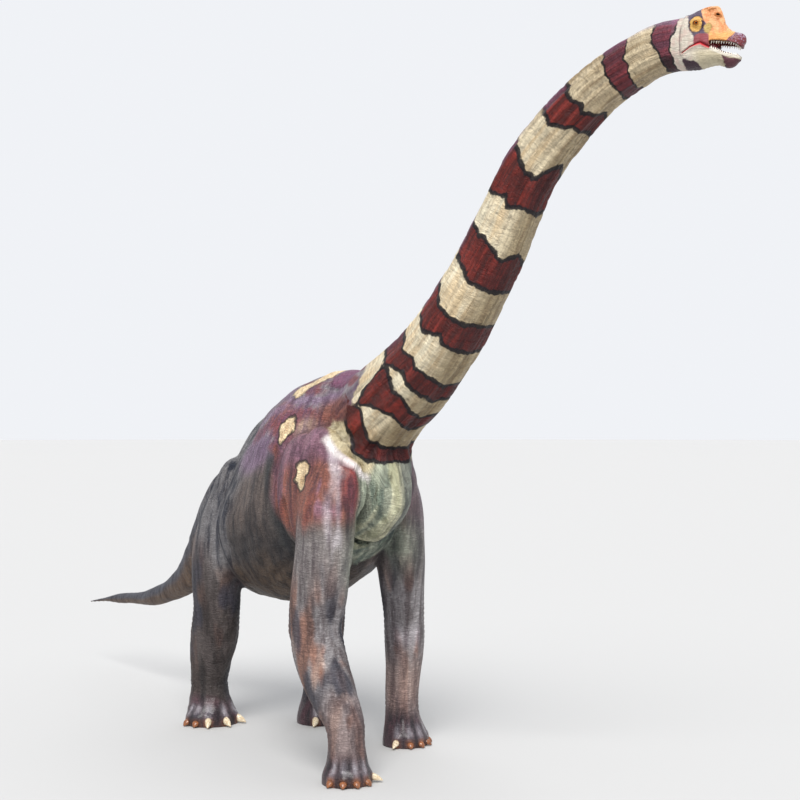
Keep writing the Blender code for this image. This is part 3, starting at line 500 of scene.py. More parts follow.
bodyFolds = {
    "voxel": 0.030, "easeRounds": 20, "triangles": 146000,
    "neckRidges": (34, 62, 90, 118, 146), "neckRidgeWidth": 10, "neckRidgeHeight": 0.042, "neckRidgeWander": 9,
    "pleatDepth": 0.055, "pleatMiddle": 0.3,
    "neckWrinkle": 0.010, "neckFrom": 1.2, "neckTo": 9.1,
    # depth, cell and seed of the soft folds, and the octaves of the widest
    "flank": (0.020, (0.42, 0.34, 1.15), 31), "swell": (0.022, (0.95, 0.95, 1.1), 41, 1),
    "leg": (0.016, (0.24, 0.24, 1.0), 51), "tail": (0.012, (0.16, 1.2, 0.16), 61),
    # leg, height, half range, depth of the cross wrinkles at each joint
    "joints": (
        ("frontRight", 2.25, 0.42, 0.010), ("frontRight", 0.78, 0.20, 0.009), ("frontLeft", 2.15, 0.40, 0.010),
        ("frontLeft", 0.70, 0.20, 0.009), ("hindRight", 2.00, 0.42, 0.010), ("hindRight", 0.75, 0.20, 0.010),
        ("hindLeft", 2.00, 0.42, 0.010), ("hindLeft", 0.75, 0.20, 0.010),
    ),
    "wrinkleSpacing": 0.085, "soleFlat": 0.012, "soleFade": (0.02, 0.30),
    # distances from a leg's line, heights, and lengths along the neck and tail, between which each kind fades
    "legReach": (0.62, 0.85), "legHeight": (3.0, 3.9), "jointReach": (0.62, 0.80), "trunkEnd": (8.3, 8.9),
    "tailFrom": (0.9, 2.2), "tailTo": (5, 9), "pleatFrom": (0.9, 1.4), "pleatEase": (3.0, 4.6), "pleatTo": (8.4, 9.0),
    "pleatDegrees": (40, 75),
    # cell and seed of the pleats, the breast's strands, the neck's rings, and the sway of wrinkles and creases
    "pleatCells": ((1.5, 0.17, 1), 91), "breastCells": ((0.11, 1, 1.5), 93), "ringCells": ((0.20, 0.75, 1.0), 21),
    "jointCells": ((0.4, 0.4, 0.3), 71), "creaseCells": (0.25, 81),
    # where the strands lie: ahead, from the midline, along the neck, and in height
    "breastFrom": (1.7, 2.1), "breastWidth": (0.55, 0.8), "breastRun": (1.1, 1.5), "breastHeight": (3.2, 3.7),
}


def bodyDepth(points):
    # how far each point of the body is raised or sunk, in metres
    run, turn, _ = followTube(points, neck["rows"])
    facing = np.abs(turn)
    onNeck = ramp(run, bodyFolds["neckFrom"], bodyFolds["neckFrom"] + 1.0)
    onNeck *= fall(run, bodyFolds["neckTo"] - 0.5, bodyFolds["neckTo"])
    legReach = {name: legAxis(points, rows)[0] for name, rows in legs.items()}
    onLeg = np.zeros(len(points))
    for name, distance in legReach.items():
        onLeg = np.maximum(onLeg, fall(distance, *bodyFolds["legReach"]) * fall(points[:, 2], *bodyFolds["legHeight"]))
    tailRun = followTube(points, tail["rows"])[0]
    onTail = ramp(tailRun, *bodyFolds["tailFrom"]) * (points[:, 1] > 2)
    onTrunk = (1 - onNeck) * (1 - onLeg) * (1 - onTail) * fall(run, *bodyFolds["trunkEnd"])

    depth = np.zeros(len(points))
    flat = np.zeros(len(run))
    alongRun = np.stack((run, flat, flat), 1)
    wander = bodyFolds["neckRidgeWander"] * softNoise(alongRun, 1.3, 3)
    ridges = np.zeros(len(points))
    for i, angle in enumerate(bodyFolds["neckRidges"]):
        fade = 0.75 + 0.45 * softNoise(alongRun + i * 3.7, 0.9, 11 + i)
        ridges += fade * bell(facing + wander, angle, bodyFolds["neckRidgeWidth"])
    depth += onNeck * bodyFolds["neckRidgeHeight"] * (ridges - 0.5)
    ringPlace = np.stack((run, np.radians(turn) * 0.5, flat), 1)
    pleatFade = ramp(run, *bodyFolds["pleatFrom"]) * (1 - 0.65 * ramp(run, *bodyFolds["pleatEase"]))
    pleatFade *= fall(run, *bodyFolds["pleatTo"])
    pleats = softNoise(np.stack((run, np.radians(facing) * 0.6, flat), 1), *bodyFolds["pleatCells"])
    pleatFade *= ramp(facing, *bodyFolds["pleatDegrees"])
    depth += pleatFade * bodyFolds["pleatDepth"] * (np.abs(pleats) - bodyFolds["pleatMiddle"])
    breast = ramp(-points[:, 1], *bodyFolds["breastFrom"]) * fall(np.abs(points[:, 0]), *bodyFolds["breastWidth"])
    breast *= fall(run, *bodyFolds["breastRun"])
    breast *= ramp(points[:, 2], *bodyFolds["breastHeight"])
    upright = softNoise(points * (1, 0.3, 1), *bodyFolds["breastCells"])
    depth += breast * bodyFolds["pleatDepth"] * (np.abs(upright) - bodyFolds["pleatMiddle"])
    rings = bell(softNoise(ringPlace, *bodyFolds["ringCells"]), 0, 0.16)
    depth -= onNeck * bodyFolds["neckWrinkle"] * rings

    onTail *= fall(tailRun, *bodyFolds["tailTo"])
    for name, where in {"flank": onTrunk, "swell": 1 - onNeck * 0.6, "leg": onLeg, "tail": onTail}.items():
        amount, *cells = bodyFolds[name]
        depth += where * amount * softNoise(points, *cells)
    for name, height, half, amount in bodyFolds["joints"]:
        near = bell(points[:, 2], height, half) * fall(legReach[name], *bodyFolds["jointReach"])
        sway = softNoise(points, *bodyFolds["jointCells"])
        wave = np.cos(2 * math.pi * (points[:, 2] + 0.05 * sway) / bodyFolds["wrinkleSpacing"])
        depth -= near * amount * ramp(wave, 0.1, 1.0)
    for amount, width, leftShift, corners in creases.values():
        for side, shift in ((1, 0), (-1, leftShift)):
            line = [(x * side, y + shift, z) for x, y, z in corners]
            low, high = np.min(line, 0) - 4 * width, np.max(line, 0) + 4 * width
            near = np.flatnonzero(((points > low) & (points < high)).all(1))
            distance = lineDistance(points[near], line) + 0.02 * softNoise(points[near], *bodyFolds["creaseCells"])
            groove, shoulder = bell(distance, 0, width), bell(distance, 2.1 * width, width)
            depth[near] += amount * (0.45 * shoulder - groove)
    return depth * ramp(points[:, 2], *bodyFolds["soleFade"])


def makeBody():
    bm = bmesh.new()
    tube(bm, trunkRows(), skyward)
    tube(bm, neck["rows"], skyward)
    tube(bm, tail["rows"], skyward)
    for rows in legs.values():
        tube(bm, rows, forward)
    for centre, radii in muscles:
        lump(bm, centre, radii)
    headShapes(bm)
    toeShapes(bm)
    body = fromBmesh("bodyShapes", bm)
    joinShapes(body, bodyFolds["voxel"], bodyFolds["easeRounds"])
    points = readPoints(body.data)
    normals = readPoints(body.data, "normal")
    points = points + normals * bodyDepth(points)[:, None]
    points[:, 2] = np.where(points[:, 2] < bodyFolds["soleFlat"], 0, points[:, 2])
    writePoints(body.data, points)
    thin(body, bodyFolds["triangles"])
    return body


body = makeBody()
print("stage: body joined and folded,", len(body.data.polygons), "faces")


# the head: a finer skin with the mouth cut open, lids, nostrils, lips and gums
headForm = {
    "firstVoxel": 0.014, "firstRounds": 4, "voxel": 0.0085, "rounds": 3, "triangles": 48000,
    "napeRounds": 60, "napeFade": (-0.26, -0.06), "cutHalfWidth": 0.5, "refineReach": (0.085, 0.060),
    "lidThickness": 0.007, "opening": (0.036, 0.026), "napeCut": (-0.20, 0, -0.03), "napeSpare": 0.03,
    "nostrilRadii": (0.026, 0.018), "lip": 0.008, "gumRib": 0.0035, "teethASide": 14,
    "ribsFrom": 0.31, "ribsSpan": 0.36, "lipGroove": 0.005, "closedLip": 0.009, "closedGroove": 0.014,
    "nearEdge": 0.014, "jawGroove": 0.012, "jawFold": 0.008, "throatRing": 0.0022, "throatSpacing": 0.062,
    "chin": 0.007, "chinFold": 0.012, "chinGroove": 0.009, "swell": 0.004,
    "palate": 0.035, "floor": 0.030,
    # height from the mouth's edge, and half width, of each roll and groove along it
    "lowerLip": (-0.016, 0.012), "upperLip": (0.014, 0.011), "gumBand": (0.020, 0.016), "grooveBand": (0.046, 0.008),
}


def headPlaces(points):
    back = np.array(headFrame.inverted())
    return points @ back[:3, :3].T + back[:3, 3]


def headDirections(vectors):
    return vectors @ np.array(headFrame.inverted())[:3, :3].T


def putBack(mesh, local):
    place = np.array(headFrame)
    writePoints(mesh, local @ place[:3, :3].T + place[:3, 3])


def gumRibs(ahead):
    # one rib over each tooth
    return np.cos(2 * math.pi * (ahead - headForm["ribsFrom"]) * headForm["teethASide"] / headForm["ribsSpan"])


def mouthCutter():
    outline = [*smoothEdge(head["mouthTop"]), *smoothEdge(head["mouthBottom"])[::-1]]
    bm = bmesh.new()
    sides = []
    for y in (-headForm["cutHalfWidth"], headForm["cutHalfWidth"]):
        sides.append([bm.verts.new(headFrame @ Vector((x, y, z))) for x, z in outline])
    bm.faces.new(sides[0])
    bm.faces.new(sides[1][::-1])
    for k in range(len(outline)):
        j = (k + 1) % len(outline)
        bm.faces.new((sides[0][j], sides[0][k], sides[1][k], sides[1][j]))
    bmesh.ops.recalc_face_normals(bm, faces=bm.faces)
    return fromBmesh("mouthCutter", bm)


def smoothEdge(edge):
    return [(head["mouthBack"], readTable(edge, head["mouthBack"]))] + [
        (x, z) for x, z in smoothRows(edge, 4) if x > head["mouthBack"] + 0.01]


def headDepth(local, facing):
    # raised and sunk detail, along the skin's own direction
    side = np.abs(local[:, 1])
    ahead, height = local[:, 0], local[:, 2]
    depth = np.zeros(len(local))
    top, bottom = readTable(head["mouthTop"], ahead), readTable(head["mouthBottom"], ahead)
    inFront = ramp(ahead, head["mouthBack"] - 0.02, head["mouthBack"] + 0.03)
    outside = ramp(np.abs(facing[:, 1]) + np.maximum(facing[:, 0], 0), 0.35, 0.7)

    def band(edge, name):
        above, half = headForm[name]
        return bell(height, edge + above, half)

    # lips: a soft roll along both edges, and the closed lip line behind them
    depth += inFront * outside * headForm["lip"] * band(bottom, "lowerLip")
    depth += inFront * outside * headForm["lip"] * band(top, "upperLip")
    depth += inFront * outside * headForm["gumRib"] * gumRibs(ahead) * band(top, "gumBand")
    depth -= inFront * outside * headForm["lipGroove"] * band(top, "grooveBand")
    closed = lineDistance(np.stack((ahead, height), 1), head["lipLine"])
    roll = headForm["closedLip"] * bell(closed, 0.020, 0.012)
    depth += outside * (roll - headForm["closedGroove"] * bell(closed, 0, 0.009))
    # palate and the floor of the mouth
    inner = fall(side, 0.085, 0.115)
    under = (facing[:, 2] < -0.6) & (np.abs(height - top) < headForm["nearEdge"]) & (ahead > head["mouthBack"])
    over = (facing[:, 2] > 0.6) & (np.abs(height - bottom) < headForm["nearEdge"]) & (ahead > head["mouthBack"])
    front = fall(ahead, 0.58, 0.66)
    depth -= under * inner * front * headForm["palate"] + over * inner * front * headForm["floor"]
    # neck folds behind the jaw, throat rings and slack skin
    curve, aboveThroat = 0.10 * (height + 0.1) ** 2, ramp(height, -0.30, -0.15)
    depth -= headForm["jawGroove"] * bell(ahead, -0.085 + curve, 0.016) * aboveThroat
    depth += headForm["jawFold"] * bell(ahead, -0.045 + curve, 0.022) * aboveThroat
    throat = fall(height, -0.34, -0.24) * ramp(ahead, -0.2, 0) * fall(ahead, 0.40, 0.50)
    depth += throat * headForm["throatRing"] * np.cos(2 * math.pi * ahead / headForm["throatSpacing"])
    # the chin's shield stands proud in front of a round fold
    chin = ramp(ahead, 0.485, 0.51) * fall(height, -0.34, -0.29)
    fold = bell(ahead, 0.452, 0.026) * bell(height, -0.318, 0.045)
    groove = headForm["chinGroove"] * bell(ahead, 0.488, 0.009) * fall(height, -0.32, -0.26)
    depth += headForm["chin"] * chin + headForm["chinFold"] * fold - groove
    return depth + headForm["swell"] * softNoise(local, 0.07, 5, 3)  # small uneven swelling all over


# openness is 1 on the edge of the lids
lidForm = {
    "axis": (0.20, 1, 0.06), "lengthwise": (1, 0, 0.10), "behind": 0.045, "around": 0.11, "ballShare": 0.97,
    "inset": 0.022, "rim": 0.003, "groove": 0.004, "wrinkle": 0.0022, "wrinkles": 17,
    "insetFade": (0.82, 1.02), "fade": (1.35, 2.15), "wrinklesFrom": (1.5, 1.9), "wrinklesTo": (2.4, 3.2),
}


def shapeEyes(local):
    eyeX, eyeY, eyeZ = head["eye"]
    radius = head["eyeRadius"] + headForm["lidThickness"]
    for side in (-1, 1):
        axis = np.array(lidForm["axis"]) * (1, side, 1)
        axis /= np.linalg.norm(axis)
        lengthwise = np.cross(np.cross(axis, lidForm["lengthwise"]), axis)
        lengthwise /= np.linalg.norm(lengthwise)
        upright = np.cross(lengthwise, axis)
        offset = local - np.array((eyeX, side * eyeY, eyeZ))
        high = offset @ axis
        a, b = offset @ lengthwise, offset @ upright
        near = np.flatnonzero((high > -lidForm["behind"]) & (np.hypot(a, b) < lidForm["around"]))
        a, b, high = a[near], b[near], high[near]
        openness = np.hypot(a / headForm["opening"][0], b / headForm["opening"][1])
        reach = np.minimum(np.hypot(a, b), radius * lidForm["ballShare"])
        ball = np.sqrt(radius**2 - reach**2)
        target = ball - lidForm["inset"] * fall(openness, *lidForm["insetFade"])
        target += lidForm["rim"] * bell(openness, 1.10, 0.14)
        target -= lidForm["groove"] * bell(openness, 1.52, 0.12)
        weight = fall(openness, *lidForm["fade"])
        wrinkles = lidForm["wrinkle"] * np.cos(openness * lidForm["wrinkles"])
        wrinkles *= ramp(openness, *lidForm["wrinklesFrom"])
        wrinkles *= fall(openness, *lidForm["wrinklesTo"])
        new = high + (target - high) * weight + wrinkles
        local[near] += (new - high)[:, None] * axis


noseForm = {"around": 0.07, "slant": 0.3, "axis": (0.35, 1, 0.15), "rim": 0.007, "hole": 0.030, "groove": 0.003}


def shapeNostrils(local):
    x, y, z = head["nostril"]
    for side in (-1, 1):
        offset = local - np.array((x, side * y, z))
        near = np.flatnonzero(np.linalg.norm(offset, axis=1) < noseForm["around"])
        a, b = offset[near, 0] + noseForm["slant"] * offset[near, 2], offset[near, 2]
        reach = np.hypot(a / headForm["nostrilRadii"][0], b / headForm["nostrilRadii"][1])
        axis = np.array(noseForm["axis"]) * (1, side, 1)
        axis /= np.linalg.norm(axis)
        push = noseForm["rim"] * bell(reach, 1.30, 0.35) - noseForm["hole"] * fall(reach, 0.35, 1.0)
        push -= noseForm["groove"] * bell(reach, 2.1, 0.2)
        local[near] += push[:, None] * axis


def refineNear(thing, spots, reach):
    with editing(thing.data) as bm:
        edges = [edge for edge in bm.edges if any((edge.verts[0].co - spot).length < reach for spot in spots)]
        bmesh.ops.subdivide_edges(bm, edges=edges, cuts=1, use_grid_fill=True)
        bmesh.ops.triangulate(bm, faces=[face for face in bm.faces if len(face.verts) > 4])


def napePlane():
    aheadOfHead = (headFrame.to_3x3() @ Vector((1, 0, 0))).normalized()
    return aheadOfHead, headFrame @ Vector(headForm["napeCut"])


def cutOff(bm, point, normal):
    geometry = [*bm.verts, *bm.edges, *bm.faces]
    bmesh.ops.bisect_plane(bm, geom=geometry, plane_co=point, plane_no=normal, dist=1e-6, clear_outer=True)


def makeHead():
    bm = bmesh.new()
    tube(bm, neck["rows"][-4:], skyward)
    headShapes(bm)
    made = fromBmesh("headShapes", bm)
    joinShapes(made, headForm["firstVoxel"], headForm["firstRounds"])
    local = headPlaces(readPoints(made.data))
    group = made.vertex_groups.new(name="nape")
    for i, weight in enumerate(fall(local[:, 0], *headForm["napeFade"])):
        if weight > 0:
            group.add([i], float(weight), "REPLACE")
    addStep(made, "SMOOTH", iterations=headForm["napeRounds"], vertex_group="nape")
    applyAll(made)
    made.vertex_groups.clear()
    cutter = mouthCutter()
    addStep(made, "BOOLEAN", object=cutter, solver="EXACT")
    applyAll(made)
    bpy.data.objects.remove(cutter)
    joinShapes(made, headForm["voxel"], headForm["rounds"])
    eyes, noses = (
        [headFrame @ Vector((x, side * y, z)) for side in (-1, 1)] for x, y, z in (head["eye"], head["nostril"]))
    for spots, reach in zip((eyes + noses, eyes), headForm["refineReach"]):
        refineNear(made, spots, reach)
    local = headPlaces(readPoints(made.data))
    facing = headDirections(readPoints(made.data, "normal"))
    local = local + facing * headDepth(local, facing)[:, None]
    shapeEyes(local)
    shapeNostrils(local)
    putBack(made.data, local)
    aheadOfHead, nape = napePlane()
    with editing(made.data) as bm:
        cutOff(bm, nape - aheadOfHead * headForm["napeSpare"], -aheadOfHead)
    thin(made, headForm["triangles"])
    return made


headSkin = makeHead()
print("stage: head shaped,", len(headSkin.data.polygons), "faces")


# one skin: body and head cut by one plane at the nape, bridged and eased there
napeJoin = {"gap": 0.012, "easeFrom": 0.03, "easeReach": 0.16, "easeRounds": 14, "easeStep": 0.6, "round": 0.7}


def openEdges(bm):
    return [edge for edge in bm.edges if edge.is_boundary]


def allTriangles(bm):
    bmesh.ops.triangulate(bm, faces=[face for face in bm.faces if len(face.verts) > 3])


def makeSkin():
    aheadOfHead, nape = napePlane()
    apart = aheadOfHead * napeJoin["gap"]
    with editing(headSkin.data) as bm:
        cutOff(bm, nape + apart, -aheadOfHead)
    with editing(body.data) as bm:
        cutOff(bm, nape - apart, aheadOfHead)
        bm.from_mesh(headSkin.data)
        bmesh.ops.bridge_loops(bm, edges=openEdges(bm))
        allTriangles(bm)
        left = openEdges(bm)
        gaps = len(left)
        if left:
            bmesh.ops.holes_fill(bm, edges=left, sides=0)
            allTriangles(bm)
        bmesh.ops.recalc_face_normals(bm, faces=bm.faces)
    points, ends = readPoints(body.data), readEdges(body.data)
    fromNape = points - np.array(nape)
    weight = fall(np.abs(fromNape @ np.array(aheadOfHead)), napeJoin["easeFrom"], napeJoin["easeReach"])
    weight *= np.linalg.norm(fromNape, axis=1) < napeJoin["round"]
    for _ in range(napeJoin["easeRounds"]):
        points += (averageOf(ends, points) - points) * napeJoin["easeStep"] * weight[:, None]
    writePoints(body.data, points)
    body.name = "paintedSkin"
    bpy.data.objects.remove(headSkin)
    return body, gaps


skin, gapsLeft = makeSkin()
print("stage: one skin,", len(skin.data.polygons), "triangles,", gapsLeft, "open edges mended")


# paint: two soft coats held on the skin's points, and sharp markings as distances to their borders
def shade(red, green, blue):
    seen = np.array((red, green, blue)) / 255
    return np.where(seen <= 0.04045, seen / 12.92, ((seen + 0.055) / 1.055) ** 2.4)


# each finish: the coat below, and the streaks over it
bodyPaint = {
    # the lower flank's darker coat is painted shade
    "flank": ((116, 104, 98), (64, 58, 58)), "flankLowShade": ((68, 62, 60), (42, 40, 42)),
    "back": ((156, 148, 154), (118, 100, 116)), "hip": ((126, 124, 126), (34, 40, 54)),
    # the belly's coat is its own brown, painted darker as painted shade too
    "hipWarm": ((142, 116, 104), (84, 66, 66)), "bellyBrownAndShade": ((98, 82, 68), (54, 44, 38)),
    # the dark coat behind the shoulder is painted shade
    "behindShoulder": ((56, 62, 64), (36, 40, 46)), "backPurple": ((150, 124, 152), (112, 88, 114)),
    "backRust": ((166, 102, 98), (132, 86, 102)), "backOchre": ((200, 174, 152), (164, 140, 140)),
    "shoulderTop": ((158, 118, 138), (108, 74, 92)), "shoulder": ((152, 96, 82), (96, 58, 62)),
    "shoulderBright": ((170, 100, 80), (128, 72, 64)), "shoulderEdge": ((158, 74, 76), (104, 56, 66)),
    "stripe": ((138, 74, 80), (116, 78, 102)), "upperArm": ((158, 152, 150), (104, 96, 98)),
    # the light lilac coat on the shoulder's front is a painted highlight
    "paintedSheen": ((232, 224, 230), (176, 158, 170)), "strip": ((252, 248, 246), (232, 220, 220)),
    # the darker coat on the chest's left part is painted shade
    "stripWarm": ((240, 228, 192), (182, 164, 124)), "chestLeftShade": ((148, 152, 142), (98, 102, 100)),
    # the darker coat on the neck's underside is painted shade
    "chest": ((206, 214, 190), (130, 146, 132)), "neckUndersideShade": ((176, 154, 114), (116, 96, 66)),
    # the dark coat in the armpit and between the chest's strands is painted shade
    "breastbone": ((244, 240, 204), (196, 194, 158)), "armpitShade": ((84, 96, 94), (46, 58, 62)),
    "leg": ((160, 156, 158), (102, 94, 96)), "legPink": ((192, 166, 154), (130, 108, 102)),
    # the dark leg coat is the legs' own dark streaks, and painted shade on their inner sides
    "legRust": ((158, 112, 92), (96, 70, 62)), "legInk": ((66, 66, 78), (40, 42, 54)),
    # the hind legs' dark coats, on the legs and ankles, are partly their own tone and partly painted shade
    "legHind": ((88, 80, 78), (56, 50, 48)), "legHindWarm": ((102, 80, 72), (62, 48, 46)),
    "ankle": ((152, 124, 118), (106, 88, 88)), "hindAnkle": ((66, 60, 58), (42, 40, 40)),
    # the coat in the gaps between toes is painted shade, and the light coat on the toes' tops a painted highlight
    "toeGap": ((46, 38, 46), (20, 18, 26)), "toeTop": ((196, 192, 200), (104, 98, 108)),
    "toeRim": ((178, 112, 64), (112, 66, 40)),
    "foot": ((86, 58, 66), (34, 26, 34)), "tailTop": ((86, 88, 98), (50, 50, 60)),
    "tailUnder": ((112, 92, 76), (76, 58, 48)), "neck": ((255, 244, 214), (234, 210, 170)),
    # the darker coat on the upper neck is painted shade
    "neckHighShade": ((216, 196, 160), (152, 132, 102)), "shoulderLeft": ((134, 126, 134), (78, 74, 84)),
    # the light coat on the knee is a painted highlight
    # the lilac-grey coat along the neck's top is partly its own tint and partly a painted sheen
    "kneeGloss": ((226, 218, 226), (168, 156, 164)), "neckSpineTintAndSheen": ((214, 204, 204), (164, 150, 160)),
}
facePaint = {
    "cream": ((204, 196, 182), (160, 148, 134)), "creamPink": ((202, 184, 172), (160, 138, 128)),
    # the dark line along the groove behind the jaw is painted shade
    "crease": ((112, 98, 96), (90, 78, 78)), "throat": ((62, 44, 54), (38, 28, 34)),
    "jaw": ((188, 178, 152), (140, 126, 102)), "surround": ((86, 74, 94), (60, 44, 66)),
    "skullTop": ((138, 134, 140), (104, 98, 108)), "orange": ((240, 180, 130), (222, 148, 98)),
    "orangeDeep": ((224, 142, 92), (204, 118, 74)), "orangeLow": ((236, 172, 100), (214, 144, 74)),
    "gumEdge": ((206, 138, 66), (124, 74, 30)), "eyePatch": ((216, 170, 92), (188, 138, 62)),
    "eyeRing": ((150, 92, 34), (104, 60, 22)), "yellow": ((188, 162, 96), (158, 130, 72)),
    "yellowEdge": ((158, 120, 70), (140, 100, 60)), "patchEdge": ((48, 36, 58), (34, 24, 44)),
    "cheek": ((148, 76, 82), (104, 42, 52)), "cheekLow": ((118, 30, 42), (86, 20, 30)),
    # the lilac on the muzzle's top is partly its own colour and partly a painted sheen
    "muzzle": ((112, 80, 98), (80, 50, 68)), "muzzleLilac": ((166, 144, 168), (132, 104, 130)),
    "muzzleLow": ((124, 52, 58), (88, 34, 42)), "nostril": ((58, 32, 22), (36, 20, 14)),
    "nostrilRing": ((190, 118, 62), (150, 86, 40)), "crestMark": ((156, 96, 46), (112, 64, 26)),
    "lipRed": ((214, 44, 58), (176, 30, 42)), "lipPink": ((226, 148, 140), (202, 120, 114)),
    "lipPale": ((226, 220, 206), (188, 178, 158)), "lipDark": ((112, 16, 26), (84, 12, 20)),
    "gumLine": ((70, 36, 20), (40, 20, 14)), "chin": ((92, 54, 62), (60, 36, 44)),
    "inside": ((96, 20, 28), (64, 14, 20)),
}
# neck bands: lower and upper borders as (degrees from the spine, metres along the neck), both sides alike
neckBands = (
    (((0, 9.1), (35, 9.1), (85, 9.05), (125, 9.1), (155, 9.15), (180, 9.2)),
     ((0, 9.42), (30, 9.4), (60, 9.38), (90, 9.3), (125, 9.27), (150, 9.3), (180, 9.33))),
    (((0, 8.45), (75, 8.35), (110, 8.3), (180, 8.3)),
     ((0, 8.8), (50, 8.75), (85, 8.65), (120, 8.6), (180, 8.55))),
    (((0, 7.35), (75, 7.3), (95, 7.25), (120, 7.35), (140, 7.45), (180, 7.5)),
     ((0, 7.85), (45, 7.8), (85, 7.7), (115, 7.75), (130, 7.7), (180, 7.9))),
    (((0, 6.05), (70, 6.0), (105, 6.05), (115, 5.95), (150, 6.0), (180, 5.95)),
     ((0, 6.8), (40, 6.75), (80, 6.65), (115, 6.5), (135, 6.48), (150, 6.65), (180, 6.85))),
    (((0, 5.0), (60, 4.9), (95, 4.8), (115, 4.7), (180, 4.7)),
     ((0, 5.5), (40, 5.48), (100, 5.35), (150, 5.17), (180, 5.3))),
    (((0, 3.8), (70, 3.7), (89, 3.62), (120, 3.76), (130, 3.68), (160, 3.66), (180, 3.64)),
     ((0, 4.4), (60, 4.3), (90, 4.1), (140, 4.1), (180, 4.15))),
    (((0, 2.62), (60, 2.62), (82, 2.66), (87, 2.76), (110, 2.88), (122, 2.81), (142, 2.79), (159, 2.78),
      (180, 2.69)),
     ((0, 3.18), (55, 3.17), (71, 3.2), (82, 3.09), (103, 3.16), (117, 3.09), (145, 3.11), (180, 3.0))),
    (((79, 2.6), (81, 2.05), (89, 1.95), (92, 1.81), (97, 1.76), (103, 1.86), (111, 1.99), (121, 2.08),
      (140, 2.16), (157, 2.12), (180, 1.96)),
     ((79, 2.55), (84, 2.64), (88, 2.67), (102, 2.6), (116, 2.5), (131, 2.55), (146, 2.46), (163, 2.38),
      (180, 2.29))),
    (((86, 1.5), (95, 1.3), (106, 1.23), (118, 1.21), (130, 1.14), (142, 1.0), (180, 0.9)),
     ((86, 1.52), (93, 1.7), (102, 1.74), (122, 1.58), (138, 1.47), (159, 1.47), (180, 1.43))),
)
# where the last band ends below, and where the cream of the neck begins on the back
bandFloor = ((0.0, 5.04), (0.1, 5.02), (0.22, 5.0), (0.37, 5.05), (0.5, 5.14), (0.61, 5.22), (0.7, 5.38),
             (0.9, 5.7))
bandSaddle = ((-0.5, -1.2), (-0.5, -1.8), (0.5, -1.8), (0.5, -1.2))  # over the spine, above the last band
neckStart = ((0, 1.98), (63, 1.98), (71, 1.92), (74, 1.69), (90, 1.66), (97, 1.5), (106, 1.4), (180, 1.38))
# the pale collar under the neck's root, as (distance from the midline, height)
collarOutline = (
    (0.9, 5.58), (0.66, 5.7), (0.6, 5.5), (0.58, 5.16), (0.35, 5.02), (0.4, 4.84), (0.64, 4.88), (0.82, 5.04),
    (0.9, 5.22), (1.0, 5.4))
# outlined cream patches as corners seen from the right or from above; the left's are mirrored and moved back
creamPatches = (
    {"plane": "side", "from": 0.6, "leftShift": 0.5, "ink": 1, "outline": (
        (-0.69, 5.79), (-0.81, 5.7), (-0.82, 5.54), (-0.7, 5.39), (-0.65, 5.28), (-0.53, 5.31), (-0.53, 5.46),
        (-0.41, 5.62), (-0.52, 5.72))},
    {"plane": "side", "from": 0.9, "leftShift": 0.75, "ink": 1, "outline": (
        (-1.52, 5.05), (-1.72, 5.05), (-1.82, 4.98), (-1.81, 4.88), (-1.73, 4.76), (-1.82, 4.6), (-1.65, 4.52),
        (-1.58, 4.66), (-1.45, 4.74), (-1.52, 4.87), (-1.45, 4.98))},
    {"plane": "top", "from": 5.9, "leftShift": 0, "ink": 0.55, "outline": (
        (0.0, -0.7), (0.0, -1.18), (0.37, -1.12), (0.46, -0.97), (0.6, -0.66), (0.71, -0.5), (0.68, -0.18),
        (0.5, -0.2), (0.42, -0.5), (0.34, -0.66), (0.2, -0.7))},
)
# where single coats lie: ellipsoids as centre, radii and softness, and broken lines
coatSpots = {
    "hipWarm": ((0.95, 2.45, 3.6), (0.5, 0.3, 1.3)), "backPurple": ((1.05, 0.35, 5.15), (0.5, 0.95, 0.32)),
    "backRust": ((0.88, -0.22, 5.8), (0.34, 0.38, 0.3)), "backOchre": ((0.9, -1.12, 5.54), (0.26, 0.28, 0.22)),
    "arm": ((1.1, -1.75, 4.75), (0.8, 1.15, 1.0), 0.15), "rust": ((-0.78, -1.75, 5.84), (0.34, 0.55, 0.3), 0.3),
    "shoulderEdge": ((0.7, -2.42, 4.62), (0.34, 0.34, 0.42), 0.4),
    # the knee spot holds a painted highlight
    "upperArm": ((1.15, -1.95, 3.25), (0.6, 1.0, 0.78), 0.25), "knee": ((1.15, -1.75, 1.95), (0.45, 0.6, 0.22), 0.6),
    "besideBreast": ((1.02, -1.9, 4.6), (0.52, 0.62, 0.95), 0.1),
    "chestFront": ((0.3, -1.95, 3.45), (0.75, 0.85, 0.75), 0.5),
    # the armpit spot holds painted shade
    "armpitShade": ((0.66, -2.0, 3.75), (0.18, 0.45, 0.75), 0.5),
}
coatLines = {
    # the line behind the shoulder holds painted shade
    "behindShoulder": ((1.23, -0.48, 5.04), (1.29, -0.57, 4.7), (1.27, -0.76, 4.37), (1.2, -0.84, 3.6)),
    "shoulderStreak": ((1.15, -0.53, 5.24), (1.22, -0.76, 4.98), (1.33, -1.07, 4.72), (1.36, -1.22, 4.46),
                       (1.33, -1.27, 4.19)),
    # these two lines hold a painted highlight down the shoulder's front
    "gloss": ((0.96, -1.96, 5.45), (1.0, -2.12, 5.2), (1.08, -2.33, 4.95), (1.14, -2.39, 4.7)),
    "paintedSheenLineLow": ((1.14, -2.39, 4.7), (1.18, -2.49, 4.38), (1.23, -2.51, 4.13), (1.22, -2.55, 3.81)),
    "strip": ((1.02, -1.98, 5.42), (0.92, -2.22, 5.14), (0.8, -2.42, 5.0), (0.6, -2.44, 4.86)),
    "stripEnd": ((0.62, -2.44, 4.86), (0.44, -2.25, 4.76)),
}
